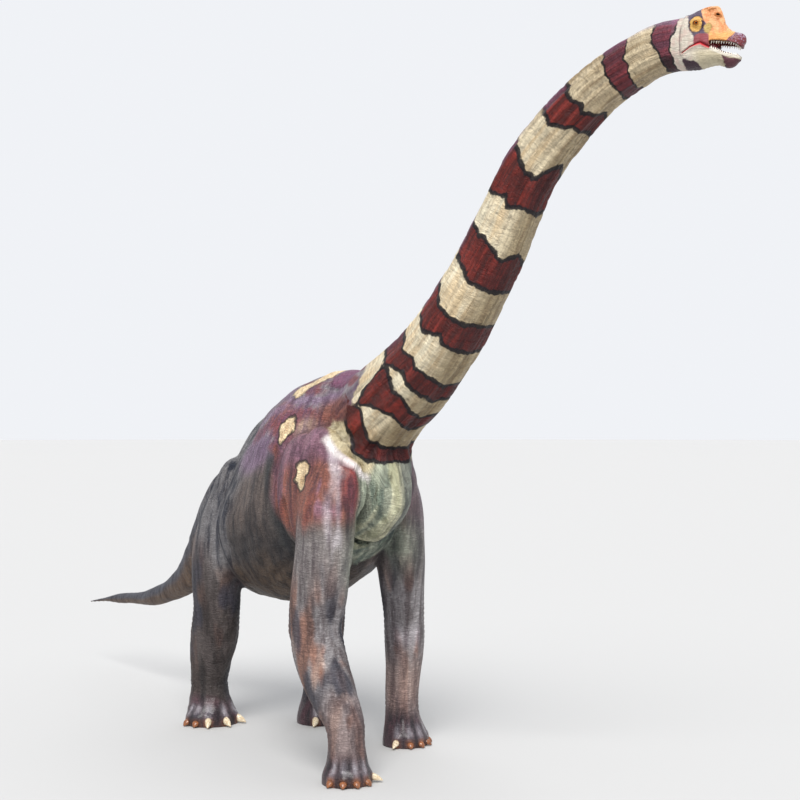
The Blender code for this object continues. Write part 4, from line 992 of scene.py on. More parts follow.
# uneven marks, as cell and seed: blotch, cloud, three upright ones from long to short, and one that runs backward
paintNoise = (
    ((0.55, 0.55, 0.8), 101), ((1.3, 1.3, 1.3), 111), ((0.26, 0.26, 1.5), 121), ((0.22, 0.22, 1.2), 131),
    ((0.30, 0.30, 1.0), 141), ((0.26, 1.0, 0.20), 151),
)
# in the head's frame: flat ellipses as middle and radii, and the crest's ellipsoid
faceForm = {
    "from": 9.0, "edge": 0.007,  # metres along the neck, and half the width of a sharp border
    "patchEdge": ((0.128, 0.200), (0.104, 0.140)), "eyePatch": ((0.128, 0.200), (0.082, 0.116)),
    "eyeRing": ((head["eye"][0], head["eye"][2]), (0.044, 0.038)),
    "yellowEdge": ((0.283, 0.137), (0.054, 0.078)), "yellow": ((0.281, 0.137), (0.046, 0.070)),
    "crest": ((0.310, 0, 0.415), (0.095, 0.24, 0.050), 0.5),
}
faceLines = {
    "height": {  # or a width, for each distance ahead
        "throatTop": ((-0.064, -0.263), (0.045, -0.294), (0.133, -0.326), (0.180, -0.392)),
        "cheekTop": ((0.105, 0.0), (0.13, 0.04), (0.172, 0.063), (0.291, 0.048)),
        "lipRed": ((-0.06, 0.004), (0.05, 0.007), (0.15, 0.012), (0.22, 0.014), (0.30, 0.010)),
        "lipPink": ((-0.06, 0.012), (0.08, 0.020), (0.16, 0.044), (0.24, 0.050), (0.31, 0.030)),
        "chinTop": ((0.477, -0.262), (0.54, -0.292), (0.70, -0.318)), "mouthWidth": ((0.2, 0.17), (0.7, 0.10)),
    },
    "ahead": {  # for each height
        "throatBack": ((-0.39, -0.035), (-0.26, -0.066)),
        "surroundBack": ((-0.09, 0.108), (0.02, 0.095), (0.19, 0.034), (0.36, 0.004)),
        "orangeBack": ((-0.06, 0.305), (0.05, 0.301), (0.21, 0.251), (0.26, 0.217), (0.41, 0.176)),
        "orangeFront": ((-0.08, 0.535), (-0.037, 0.558), (0.015, 0.622), (0.09, 0.66)),
        "chinBack": ((-0.40, 0.520), (-0.343, 0.494), (-0.268, 0.474)),
    },
}


def insideOutline(flat, outline):
    # distance to a closed outline, positive inside it
    outline = np.array(outline, float)
    nearest = np.full(len(flat), 1e9)
    inside = np.zeros(len(flat), bool)
    for start, end in zip(outline, np.roll(outline, -1, 0)):
        along = end - start
        share = np.clip((flat - start) @ along / max(along @ along, 1e-9), 0, 1)
        nearest = np.minimum(nearest, np.linalg.norm(flat - start - share[:, None] * along, axis=1))
        crosses = (flat[:, 1] < start[1]) != (flat[:, 1] < end[1])
        if crosses.any():
            meets = start[0] + (flat[:, 1] - start[1]) * along[0] / (along[1] or 1e-9)
            inside ^= crosses & (flat[:, 0] < meets)
    return np.where(inside, nearest, -nearest)


def steepness(values, points, ends):
    # how fast a value changes over the skin, for each metre
    run = np.linalg.norm(points[ends[:, 0]] - points[ends[:, 1]], axis=1)
    rate = ((values[ends[:, 0]] - values[ends[:, 1]]) / np.maximum(run, 1e-5)) ** 2
    count = len(values)
    total = np.bincount(ends[:, 0], rate, count) + np.bincount(ends[:, 1], rate, count)
    slope = np.sqrt(2 * total / neighbourCount(ends, count))[:, None]
    for _ in range(4):
        slope = 0.5 * slope + 0.5 * averageOf(ends, slope)
    return np.clip(slope[:, 0], 0.35, 3)


def storeValue(mesh, name, values):
    kind, field = ("FLOAT", "value") if values.ndim == 1 else ("FLOAT_VECTOR", "vector")
    made = mesh.attributes.new(name, kind, "POINT")
    made.data.foreach_set(field, values.astype(np.float32).ravel())


def storeColour(mesh, name, colours):
    made = mesh.color_attributes.new(name, "FLOAT_COLOR", "POINT")
    full = np.ones((len(colours), 4), np.float32)
    full[:, :3] = np.clip(colours, 0, 1)
    made.data.foreach_set("color", full.ravel())


toePaint = {"near": (0.20, 0.30), "far": 0.75, "above": (0.34, 0.48), "ridgeDegrees": 8, "gapDegrees": 5}


def toeMarks(points):
    # how much each point lies on a toe's ridge, and in a gap between two toes; the ridges get a painted highlight and
    # the gaps painted shade
    ridges, gaps = np.zeros(len(points)), np.zeros(len(points))
    for foot in feet.values():
        angles = sorted(foot["claws"] + foot["nails"])
        for _, x, y, side in foot["middles"]:
            out, ahead = -side * (points[:, 0] - x), -(points[:, 1] - y)
            turn, distance = np.degrees(np.arctan2(out, ahead)), np.hypot(out, ahead)
            near = ramp(distance, *toePaint["near"]) * (distance < toePaint["far"])
            near *= fall(points[:, 2], *toePaint["above"])
            for angle in angles:
                ridges = np.maximum(ridges, near * bell(turn, angle, toePaint["ridgeDegrees"]))
            for first, second in zip(angles, angles[1:]):
                gaps = np.maximum(gaps, near * bell(turn, (first + second) / 2, toePaint["gapDegrees"]))
    return ridges, gaps


def neckBandDistance(points, ends, run, facing, onNeckTube, blotch):
    # how far each point is inside a band, evened so that an outline is as broad everywhere
    band = np.full(len(points), -1.0)
    for i, (lower, upper) in enumerate(neckBands):
        within = np.minimum(readTable(upper, facing) - run, run - readTable(lower, facing))
        if i == len(neckBands) - 1:
            floor = readTable(bandFloor, np.abs(points[:, 0]))
            within = np.minimum(within, points[:, 2] - floor + 0.03 * blotch)
        band = np.maximum(band, within)
    band = np.where(onNeckTube, band, -1.0)
    band = band / steepness(band, points, ends)
    saddle = np.where(points[:, 2] > 6.2, insideOutline(points[:, :2], bandSaddle), -1.0)
    return np.maximum(band, saddle)


def patchDistance(points):
    # how far each point is inside a cream patch, and how dark its outline is there
    patch, ink = np.full(len(points), -1.0), np.ones(len(points))
    for spot in creamPatches:
        for mirror in (1, -1):
            x, y, z = (points * (mirror, 1, 1) - (0, spot["leftShift"] * (mirror == -1), 0)).T
            if spot["plane"] == "side":
                onSide, flat = x < -spot["from"], np.stack((y, points[:, 2]), 1)
            else:
                onSide, flat = (z > spot["from"]) & (x < 0.001), np.stack((np.abs(x), points[:, 1]), 1)
            distance = np.where(onSide, insideOutline(flat, spot["outline"]), -1.0)
            ink = np.where(distance > -0.15, spot["ink"], ink)
            patch = np.maximum(patch, distance)
    return patch, ink


def paintLegs(points, coat, blotch, upright, uprightFine, uprightShort):
    x, y, z = points.T
    inside, onLeg = np.zeros(len(points)), np.zeros(len(points))
    for name, rows in legs.items():
        distance, angle = legAxis(points, rows)
        weight = fall(distance, 0.60, 0.80) * fall(z + 0.35 * blotch, 2.6, 3.5)
        onLeg = np.maximum(onLeg, weight)
        towards = np.sin(angle) * (-1 if "Left" in name else 1)
        inside = np.maximum(inside, weight * ramp(towards, 0.15, 0.85))
    hind = onLeg * (y > 0.2)
    coat(onLeg, "leg")
    coat(onLeg * ramp(upright, 0.12, 0.50), "legPink")
    coat(0.85 * onLeg * ramp(uprightFine, 0.15, 0.55), "legRust")
    # the hind legs and their ankles painted darker, partly their own tone and partly painted shade
    coat(hind, "legHind")
    coat(0.8 * hind * ramp(uprightFine, 0.0, 0.45), "legHindWarm")
    coat(0.55 * (onLeg - hind) * fall(z + 0.3 * blotch, 0.9, 1.6), "ankle")
    coat(0.75 * hind * fall(z + 0.2 * blotch, 0.8, 1.6), "hindAnkle")
    coat(0.85 * onLeg * ramp(uprightShort, 0.18, 0.55), "legInk")
    coat(0.6 * (x > 0.4) * (y < -0.2) * onLeg * bell(z, 1.15, 0.45), "legPink")
    # the legs' inner sides, where they face each other, painted darker: painted shade
    coat(0.7 * inside * (0.5 + 0.5 * (y > 0)), "legInk")
    # a painted highlight on the knee
    coat(0.55 * blob(points, *coatSpots["knee"]) * ramp(uprightFine, -0.3, 0.3), "kneeGloss")
    sole = fall(z + 0.16 * blotch, 0.34, 0.62)
    coat(sole, "foot")
    toes, gaps = toeMarks(points)
    # painted shade in the gaps between toes, and a painted highlight on the toes' tops
    coat(0.85 * gaps, "toeGap")
    coat(0.8 * toes * bell(z, 0.30, 0.13), "toeTop")
    coat(0.8 * toes * fall(z, 0.10, 0.20), "toeRim")
    return sole


def paintHead(points, normals, run, coat):
    # the head in its own frame, a ahead and c up, with sharp borders
    local, facing = headPlaces(points), headDirections(normals)
    a, c = local[:, 0], local[:, 2]
    side = np.abs(local[:, 1])
    rough = 0.010 * softNoise(local, 0.05, 171, 3)
    speckle = softNoise(local, 0.018, 181, 2)
    tint = softNoise(local * (1, 1, 0.5), 0.035, 211, 3)
    onHead = ramp(a, -0.24, -0.18) * (run > faceForm["from"])
    line = {name: readTable(table, a) for name, table in faceLines["height"].items()}
    line |= {name: readTable(table, c) for name, table in faceLines["ahead"].items()}
    mouthBack, closed = head["mouthBack"], readTable(head["lipLine"], a)
    top, bottom = readTable(head["mouthTop"], a), readTable(head["mouthBottom"], a)

    def face(weight, finish):
        coat(weight, finish, facePaint)

    def inShape(*distances):
        return onHead * ramp(np.minimum.reduce(distances) + rough, -faceForm["edge"], faceForm["edge"])

    def inEllipse(name):
        middle, radii = faceForm[name]
        reach = np.hypot((a - middle[0]) / radii[0], (c - middle[1]) / radii[1])
        return inShape((1 - reach) * min(radii))

    face(onHead, "cream")
    face(inShape(c - 0.30 - 0.1 * side) * (a < 0.2), "skullTop")
    face(onHead * ramp(softNoise(local, 0.06, 191, 2), -0.1, 0.4) * (a < 0.1), "creamPink")
    face(onHead * ramp(a, 0.0, 0.20) * fall(c, -0.22, -0.10), "jaw")
    face(inShape(a - line["throatBack"], line["throatTop"] - c), "throat")
    # a dark line along the groove behind the jaw: painted shade
    crease = np.abs(a + 0.085 - 0.10 * (c + 0.1) ** 2 - 0.3 * rough)
    face(0.8 * fall(crease, 0.004, 0.013) * ramp(c, -0.28, -0.15) * fall(c, 0.12, 0.24), "crease")
    # the dark surround, the cheek and the orange side
    aboveMouth = c - np.where(a < mouthBack, closed, top)
    face(inShape(a - line["surroundBack"], aboveMouth), "surround")
    face(inEllipse("patchEdge"), "patchEdge")
    cheek = inShape(a - 0.105, line["cheekTop"] - c, 0.304 - a, c - closed)
    face(cheek, "cheek")
    face(cheek * fall(c - closed + rough, 0.02, 0.07) * ramp(a, 0.13, 0.20), "cheekLow")
    orange = inShape(a - line["orangeBack"], line["orangeFront"] - a, aboveMouth)
    face(orange, "orange")
    face(0.8 * orange * ramp(tint, 0.0, 0.4), "orangeDeep")
    face(0.8 * orange * fall(c + 0.06 * tint, 0.02, 0.12), "orangeLow")
    gumEdge = inShape(a - 0.305, line["orangeFront"] - a) * fall(aboveMouth + 2 * rough, 0.012, 0.040)
    face(gumEdge * (aboveMouth > 0), "gumEdge")
    face(0.75 * gumEdge * fall(gumRibs(a), -0.3, 0.6) * (aboveMouth > 0), "gumLine")
    for name in ("eyePatch", "eyeRing", "yellowEdge", "yellow"):
        face(inEllipse(name), name)
    # muzzle, nostrils and crest
    muzzle = inShape(a - line["orangeFront"], aboveMouth)
    face(muzzle, "muzzle")
    face(muzzle * fall(c + 0.5 * rough - 0.25 * (a - 0.6), -0.06, 0.04), "muzzleLow")
    # lilac speckles, more towards the muzzle's top: partly its own colour and partly a painted sheen
    face(muzzle * ramp(speckle + 4 * (c - 0.02), -0.1, 0.4), "muzzleLilac")
    noseX, _, noseZ = head["nostril"]
    radiusX, radiusZ = headForm["nostrilRadii"]
    nose = np.hypot((a - noseX + noseForm["slant"] * (c - noseZ)) / radiusX, (c - noseZ) / radiusZ)
    nearNose = onHead * (side > 0.04) * (side < 0.16)
    face(nearNose * fall(nose + 0.4 * tint, 1.7, 2.5), "nostrilRing")
    face(nearNose * fall(nose, 0.8, 1.1), "nostril")
    face(onHead * blob(local, *faceForm["crest"]) * ramp(speckle, -0.35, 0.25), "crestMark")
    face(0.45 * onHead * (a > 0.25) * (c > 0.1) * ramp(speckle, 0.35, 0.8), "crestMark")
    # lips: a pale rim on the open mouth, and a red line with pink below it behind
    outer = onHead * (side > 0.02)
    below, belowLine = bottom - c, closed - c
    face(inShape(0.008 - np.abs(aboveMouth - 0.001)) * (a > mouthBack), "gumLine")
    face(outer * (a > mouthBack) * fall(below, 0.034, 0.046) * (below > -0.004), "lipPale")
    onLine = outer * (a > -0.064) * (a < 0.308) * (c < -0.05)
    red, pink = line["lipRed"], line["lipPink"]
    face(0.9 * onLine * (belowLine > 0) * fall(belowLine, 0.6 * pink, pink), "lipPink")
    face(onLine * fall(np.abs(belowLine - 0.5 * red), red, red + 0.006), "lipRed")
    face(0.8 * onLine * fall(np.abs(belowLine + 0.002), 0.004, 0.009), "lipDark")
    face(inShape(a - line["chinBack"], line["chinTop"] - c), "chin")
    # the inside of the mouth
    inward = ramp(-facing[:, 1] * np.sign(local[:, 1]), 0.05, 0.35) * (side < 0.17)
    face(onHead * inward * (a > mouthBack - 0.01) * (c < top + 0.06) * (c > bottom - 0.05), "inside")
    between = onHead * (a > mouthBack - 0.02) * (c < top + 0.012) * (c > bottom - 0.012)
    face(between * (np.abs(facing[:, 2]) > 0.55) * fall(side, 0.110, 0.125), "inside")
    corner = onHead * (side < 0.9 * line["mouthWidth"]) * (np.abs(a - mouthBack) < 0.02)
    face(corner * (c < top) * (c > bottom), "inside")
    return onHead, muzzle, fall(c + rough, -0.235, -0.205)


def paintSkin(mesh):
    points, normals, ends = readPoints(mesh), readPoints(mesh, "normal"), readEdges(mesh)
    run, turn, reach = followTube(points, neck["rows"])
    tailRun, tailTurn, _ = followTube(points, tail["rows"])
    facing = np.abs(turn)
    x, y, z = np.abs(points[:, 0]), points[:, 1], points[:, 2]
    left = points[:, 0] > 0
    # the left arm stands further back and the left thigh further forward
    mirrored = np.stack((x, y - 0.75 * left * fall(z, 4.8, 6.0), z), 1)
    hindMirrored = np.stack((x, y + 0.5 * left, z), 1)
    under, over = (np.tile(shade(*pot), (len(points), 1)) for pot in bodyPaint["flank"])

    def coat(weight, finish, paints=bodyPaint):
        for colours, pot in zip((under, over), paints[finish]):
            colours += (shade(*pot) - colours) * np.clip(weight, 0, 1)[:, None]

    def spot(name, places=mirrored, wander=0.0):
        return blob(places + np.reshape(wander, (-1, 1)), *coatSpots[name])

    def alongLine(name, wander, low, high):
        return fall(lineDistance(mirrored, coatLines[name]) + wander, low, high)

    blotch, cloud, upright, uprightFine, uprightShort, backward = (
        softNoise(points, cell, seed) for cell, seed in paintNoise)
    # trunk
    # the lower flank painted darker: painted shade
    coat(fall(z + 0.5 * cloud, 3.3, 4.4), "flankLowShade")
    coat(ramp(z + 0.5 * cloud, 4.9, 5.5), "back")
    coat(ramp(y + 0.3 * cloud, 0.5, 1.3) * ramp(z, 2.5, 3.2), "hip")
    coat(0.8 * (spot("hipWarm", hindMirrored) * ramp(upright, -0.1, 0.3)), "hipWarm")
    # the belly's own brown, painted dark partly as painted shade
    coat(fall(z + 0.3 * blotch, 2.75, 3.4) * (y > -1.9) * (y < 2.4), "bellyBrownAndShade")
    coat(0.85 * spot("backPurple", wander=0.12 * cloud), "backPurple")
    # a dark coat along the line behind the shoulder: painted shade
    coat(0.85 * alongLine("behindShoulder", 0.1 * blotch, 0.08, 0.34), "behindShoulder")
    onBack = ramp(z, 5.0, 5.4) * fall(y, 0.3, 1.2)
    coat(0.85 * spot("backRust", wander=0.1 * blotch), "backRust")
    coat(0.9 * onBack * ramp(backward, 0.02, 0.22), "stripe")
    coat(0.75 * onBack * ramp(-backward, 0.12, 0.35), "backPurple")
    coat(0.8 * spot("backOchre"), "backOchre")
    # arms
    arm = spot("arm", wander=0.08 * blotch)
    coat(arm, "shoulder")
    coat(0.8 * alongLine("shoulderStreak", 0.05 * blotch, 0.03, 0.12), "shoulderBright")
    coat(0.9 * arm * ramp(uprightFine, 0.10, 0.40) * fall(z, 4.9, 5.2), "shoulderBright")
    coat(0.85 * arm * ramp(z + 0.4 * blotch, 4.85, 5.30), "shoulderTop")
    coat(0.75 * ramp(upright, 0.15, 0.38) * arm * ramp(z, 4.0, 4.3), "shoulderTop")
    coat(0.95 * spot("shoulderEdge"), "shoulderEdge")
    coat(0.9 * spot("upperArm", wander=0.1 * blotch), "upperArm")
    coat(0.75 * left * arm * fall(z + 0.3 * blotch, 4.9, 5.4), "shoulderLeft")
    # a light streak down the shoulder's front: a painted highlight
    paintedSheen = np.maximum(alongLine("gloss", 0.05 * blotch, 0.04, 0.15),
                       0.7 * alongLine("paintedSheenLineLow", 0.08 * blotch, 0.03, 0.13))
    coat(0.7 * paintedSheen * ramp(uprightFine + 0.8 * upright, -0.5, 0.2), "paintedSheen")
    coat(0.9 * spot("rust", points * (1 - 2 * left[:, None] * np.array((1, 0, 0)))), "shoulder")
    # chest
    steep = np.where(x < 0.48, ramp(-normals[:, 1], -0.35, 0.10), ramp(-normals[:, 1], 0.05, 0.45)) * (y < -1.0)
    breast = steep * fall(x, 0.62, 0.80) * ramp(z + 0.1 * blotch, 3.35, 3.80) * (y < -1.5) * fall(z, 5.15, 5.3)
    breast *= 1 - spot("besideBreast")
    front = spot("chestFront") * (y < -1.2)
    strands = softNoise(points * (1, 0.4, 1), (0.060, 0.5, 1.0), 221)
    coat(0.75 * front, "chest")
    coat(breast, "chest")
    coat(breast * bell(x, 0.02, 0.16), "breastbone")
    # the chest's left part painted darker: painted shade
    coat(0.9 * breast * ramp(points[:, 0] + 0.05 * blotch, -0.10, 0.10), "chestLeftShade")
    # dark paint between the chest's strands: painted shade
    coat(0.45 * np.maximum(breast, front) * ramp(strands, 0.0, 0.30), "armpitShade")
    coat(0.5 * breast * ramp(-strands, 0.15, 0.40) * (points[:, 0] < 0.05), "breastbone")
    # the armpit painted dark: painted shade
    coat(0.6 * spot("armpitShade"), "armpitShade")
    collar = insideOutline(np.stack((x + 0.04 * blotch, z), 1), collarOutline)
    coat(ramp(collar, -0.03, 0.03) * (y < -1.6) * (reach > 0.5), "stripWarm")
    coat(np.maximum(alongLine("strip", 0.03 * blotch, 0.04, 0.13),
                    alongLine("stripEnd", 0.03 * blotch, 0.04, 0.13)), "strip")
    # tail and legs
    onTail = ramp(tailRun, 0.8, 2.0) * (y > 2.2)
    coat(onTail, "tailTop")
    coat(onTail * ramp(np.abs(tailTurn) + 14 * blotch, 80, 120), "tailUnder")
    sole = paintLegs(points, coat, blotch, upright, uprightFine, uprightShort)
    # neck
    onNeckTube = (reach < 1.35) & (y < -0.9)
    onNeck = ramp(run - readTable(neckStart, facing) + 0.02 * blotch, -0.012, 0.012) * onNeckTube
    roundNeck = np.radians(turn) * 0.5
    ridge = softNoise(np.stack((run, roundNeck, np.zeros(len(run))), 1), (1.6, 0.22, 1), 161)
    coat(onNeck, "neck")
    # the neck's underside painted darker: painted shade
    coat(onNeck * ramp(facing, 112, 165) * 0.8, "neckUndersideShade")
    # the upper neck painted darker: painted shade
    coat(0.8 * onNeck * ramp(run, 5.5, 8.5), "neckHighShade")
    # lilac-grey along the neck's top: partly its own tint and partly a painted sheen
    coat(0.85 * onNeck * fall(facing + 14 * ridge + 8 * blotch, 26, 48), "neckSpineTintAndSheen")
    # head, and what the materials read
    onHead, muzzle, throatUnderHead = paintHead(points, normals, run, coat)
    band = neckBandDistance(points, ends, run, facing, onNeckTube, blotch)
    patch, ink = patchDistance(points)
    ink *= 1 - fall(facing, 92, 100) * ramp(run, 1.22, 1.30) * fall(run, 1.60, 1.68) * (reach < 1.3)
    smoothed = points.copy()
    for _ in range(10):
        smoothed = 0.5 * smoothed + 0.5 * averageOf(ends, smoothed)
    # the bands' maroon painted darker on the neck's underside: painted shade
    throatDark = 0.45 * ramp(facing + 12 * blotch, 120, 165) * (run > 1.0)
    storeColour(mesh, "undercoat", under)
    storeColour(mesh, "streakCoat", over)
    for name, values in {
        "band": np.clip(band, -1, 1), "patch": np.clip(patch, -1, 1), "ink": ink,
        "hollow": ((smoothed - points) * normals).sum(1),
        "onNeck": ramp(run, 0.9, 1.3) * onNeckTube * (1 - onHead), "onHead": onHead,
        "fineInk": ramp(run, 7.5, 9.0) * (y < -0.9),
        # where the bands turn purple along the neck's top: partly their own tint and partly a painted sheen
        "spine": np.maximum(fall(facing + 10 * blotch, 26, 70), 0.35 * ramp(run, 7.5, 9.2) * (y < -3)),
        # the bands' maroon painted darker on the neck's underside as painted shade, and the band's lower half darker
        # behind the head
        "throatDark": np.where(run > faceForm["from"], throatUnderHead, throatDark),
        "wetLook": np.clip(0.7 * sole + 0.5 * muzzle + 0.3 * arm + 0.4 * paintedSheen, 0, 1),
        "neckPlace": np.stack((roundNeck, np.zeros(len(run)), run), 1),
    }.items():
        storeValue(mesh, name, values)


paintSkin(skin.data)
print("stage: skin painted")


# shader helpers
def feed(tree, node, inputs):
    for name, value in inputs.items():
        if isinstance(value, bpy.types.NodeSocket):
            tree.links.new(value, node.inputs[name])
        else:
            node.inputs[name].default_value = value


def addNode(tree, kind, inputs=None, **settings):
    made = tree.nodes.new(kind)
    for name, value in settings.items():
        setattr(made, name, value)
    feed(tree, made, inputs or {})
    return made


def mixColour(tree, factor, first, second, blend="MIX"):
    made = addNode(tree, "ShaderNodeMix", {0: factor, 6: first, 7: second}, data_type="RGBA", blend_type=blend)
    return made.outputs[2]


def mixValue(tree, factor, first, second):
    return addNode(tree, "ShaderNodeMix", {0: factor, 2: first, 3: second}, data_type="FLOAT").outputs[0]


def calculate(tree, operation, first, second=0.0, clamp=False):
    return addNode(tree, "ShaderNodeMath", {0: first, 1: second}, operation=operation, use_clamp=clamp).outputs[0]


def times(tree, first, *others):
    for other in others:
        first = calculate(tree, "MULTIPLY", first, other)
    return first


def plus(tree, first, second):
    return calculate(tree, "ADD", first, second)


def minus(tree, first, second):
    return calculate(tree, "SUBTRACT", first, second)


def objectPlace(tree):
    return addNode(tree, "ShaderNodeTexCoord").outputs["Object"]


def noiseNode(tree, vector, scale, detail, roughness=0.5, distortion=0.0):
    inputs = {"Vector": vector, "Scale": scale, "Detail": detail, "Roughness": roughness, "Distortion": distortion}
    return addNode(tree, "ShaderNodeTexNoise", inputs).outputs["Fac"]


def bumpNode(tree, strength, distance, height):
    return addNode(tree, "ShaderNodeBump", {"Strength": strength, "Distance": distance, "Height": height}).outputs[0]


def stretch(tree, value, low, high, newLow=0.0, newHigh=1.0):
    inputs = {"Value": value, "From Min": low, "From Max": high, "To Min": newLow, "To Max": newHigh}
    return addNode(tree, "ShaderNodeMapRange", inputs, interpolation_type="SMOOTHSTEP").outputs["Result"]


def attribute(tree, name, output="Fac"):
    return addNode(tree, "ShaderNodeAttribute", attribute_name=name).outputs[output]


def paintPot(*colour):
    return (*shade(*colour), 1)


def newGroup(name, inputs, outputs, kind="ShaderNodeTree"):
    # each socket is given with its value, or with its kind alone
    tree = bpy.data.node_groups.new(name, kind)
    for inOut, sockets in (("INPUT", inputs), ("OUTPUT", outputs)):
        for socket, value in sockets.items():
            socketKind = value if isinstance(value, str) else "Int" if isinstance(value, int) else "Float"
            made = tree.interface.new_socket(socket, in_out=inOut, socket_type="NodeSocket" + socketKind)
            if socketKind != value:
                made.default_value = value
    return tree, tree.nodes.new("NodeGroupInput").outputs, tree.nodes.new("NodeGroupOutput")


def useGroup(tree, group, inputs):
    return addNode(tree, "ShaderNodeGroup", inputs, node_tree=group).outputs


def stretchedPlace(tree, vector, across, along):
    scale = addNode(tree, "ShaderNodeCombineXYZ", {"X": across, "Y": across, "Z": along}).outputs[0]
    return addNode(tree, "ShaderNodeVectorMath", {0: vector, 1: scale}, operation="MULTIPLY").outputs[0]


# brush streaks: a mask of long marks along the vector's third axis
def brushStreakGroup():
    sockets = {"Vector": "Vector", "Across": 6.0, "Along": 0.9, "Low": 0.42, "High": 0.62}
    tree, given, out = newGroup("brushStreaks", sockets, {"Streaks": "Float"})
    grain = noiseNode(tree, stretchedPlace(tree, given["Vector"], given["Across"], given["Along"]), 1, 5, 0.62)
    feed(tree, out, {"Streaks": stretch(tree, grain, given["Low"], given["High"])})
    return tree


# cast skin: fine cross wrinkles and small scales, as a height and a mask of what lies low
def castSkinGroup():
    sockets = {"Vector": "Vector", "Across": 10.0, "Along": 34.0, "Scales": 30.0}
    tree, given, out = newGroup("castSkin", sockets, {"Height": "Float", "Low": "Float"})
    place = stretchedPlace(tree, given["Vector"], given["Across"], given["Along"])
    wrinkle = noiseNode(tree, place, 1, 3, 0.55, 0.4)
    valley = stretch(tree, calculate(tree, "ABSOLUTE", minus(tree, wrinkle, 0.5)), 0.0, 0.09)
    scales = addNode(tree, "ShaderNodeTexVoronoi", {"Vector": given["Vector"], "Scale": given["Scales"]})
    dome = stretch(tree, scales.outputs["Distance"], 0.0, 0.8, 1.0, 0.0)
    height = plus(tree, times(tree, valley, 0.65), times(tree, dome, 0.15))
    feed(tree, out, {"Height": height, "Low": minus(tree, 1.0, valley)})
    return tree


# weathering: soft uneven grime that dulls a coat, used on every painted or cast piece
def weatherGroup():
    sockets = {"Colour": "Color", "Vector": "Vector", "Size": 1.5, "Amount": 0.3}
    tree, given, out = newGroup("weathering", sockets, {"Colour": "Color", "Dull": "Float"})
    grime = stretch(tree, noiseNode(tree, given["Vector"], given["Size"], 4, 0.6), 0.40, 0.70)
    amount = times(tree, grime, given["Amount"])
    grimy = mixColour(tree, amount, given["Colour"], (0.62, 0.58, 0.54, 1), "MULTIPLY")
    feed(tree, out, {"Colour": grimy, "Dull": amount})
    return tree


brushStreaks, castSkin, weathering = brushStreakGroup(), castSkinGroup(), weatherGroup()


def newMaterial(name):
    made = bpy.data.materials.new(name)
    made.use_nodes = True
    return made, made.node_tree, made.node_tree.nodes["Principled BSDF"]


hidePaint = {
    # the darkest maroon is painted shade on the neck's underside, and the dark lower half of the band behind the head
    # the deep maroon goes into the bands' dark streaks and, as painted shade, into the grooves between the neck's
    # ridges
    # the purple maroon along the neck's top is partly its own tint and partly a painted sheen
    "maroon": (142, 50, 41), "maroonDeepAndShade": (48, 19, 19), "maroonSpineTintAndSheen": (128, 88, 120), "maroonThroat": (42, 18, 26),
    # the colour laid in wrinkles, folds and hollows is painted shade
    "cream": (250, 226, 184), "creamStain": (206, 168, 126), "outline": (22, 18, 24), "creaseShade": (38, 30, 34),
    "outlineWidth": 0.032, "patchOutline": 0.022, "jag": 0.17, "jagScale": 5.5,
    # streaks across and along, and the noise between which they show
    "wide": (5.5, 0.85, 0.40, 0.64), "fine": (19.0, 2.6, 0.46, 0.62), "ridge": (7.0, 0.8, 0.40, 0.60),
    # wrinkles across and along, and scales
    "wrinkles": (9.0, 30.0, 26.0), "folds": (3.6, 12.5, 11.0),
    # the first value here is how strongly painted shade is laid in creases and hollows
    "creaseShadeMix": 0.62, "grime": 0.22, "grimeSize": 1.4, "bump": 0.65, "bumpDepth": 0.022,
    "rough": 0.46, "wetCoat": 0.55, "coatRough": 0.22, "glint": 0.26,
}


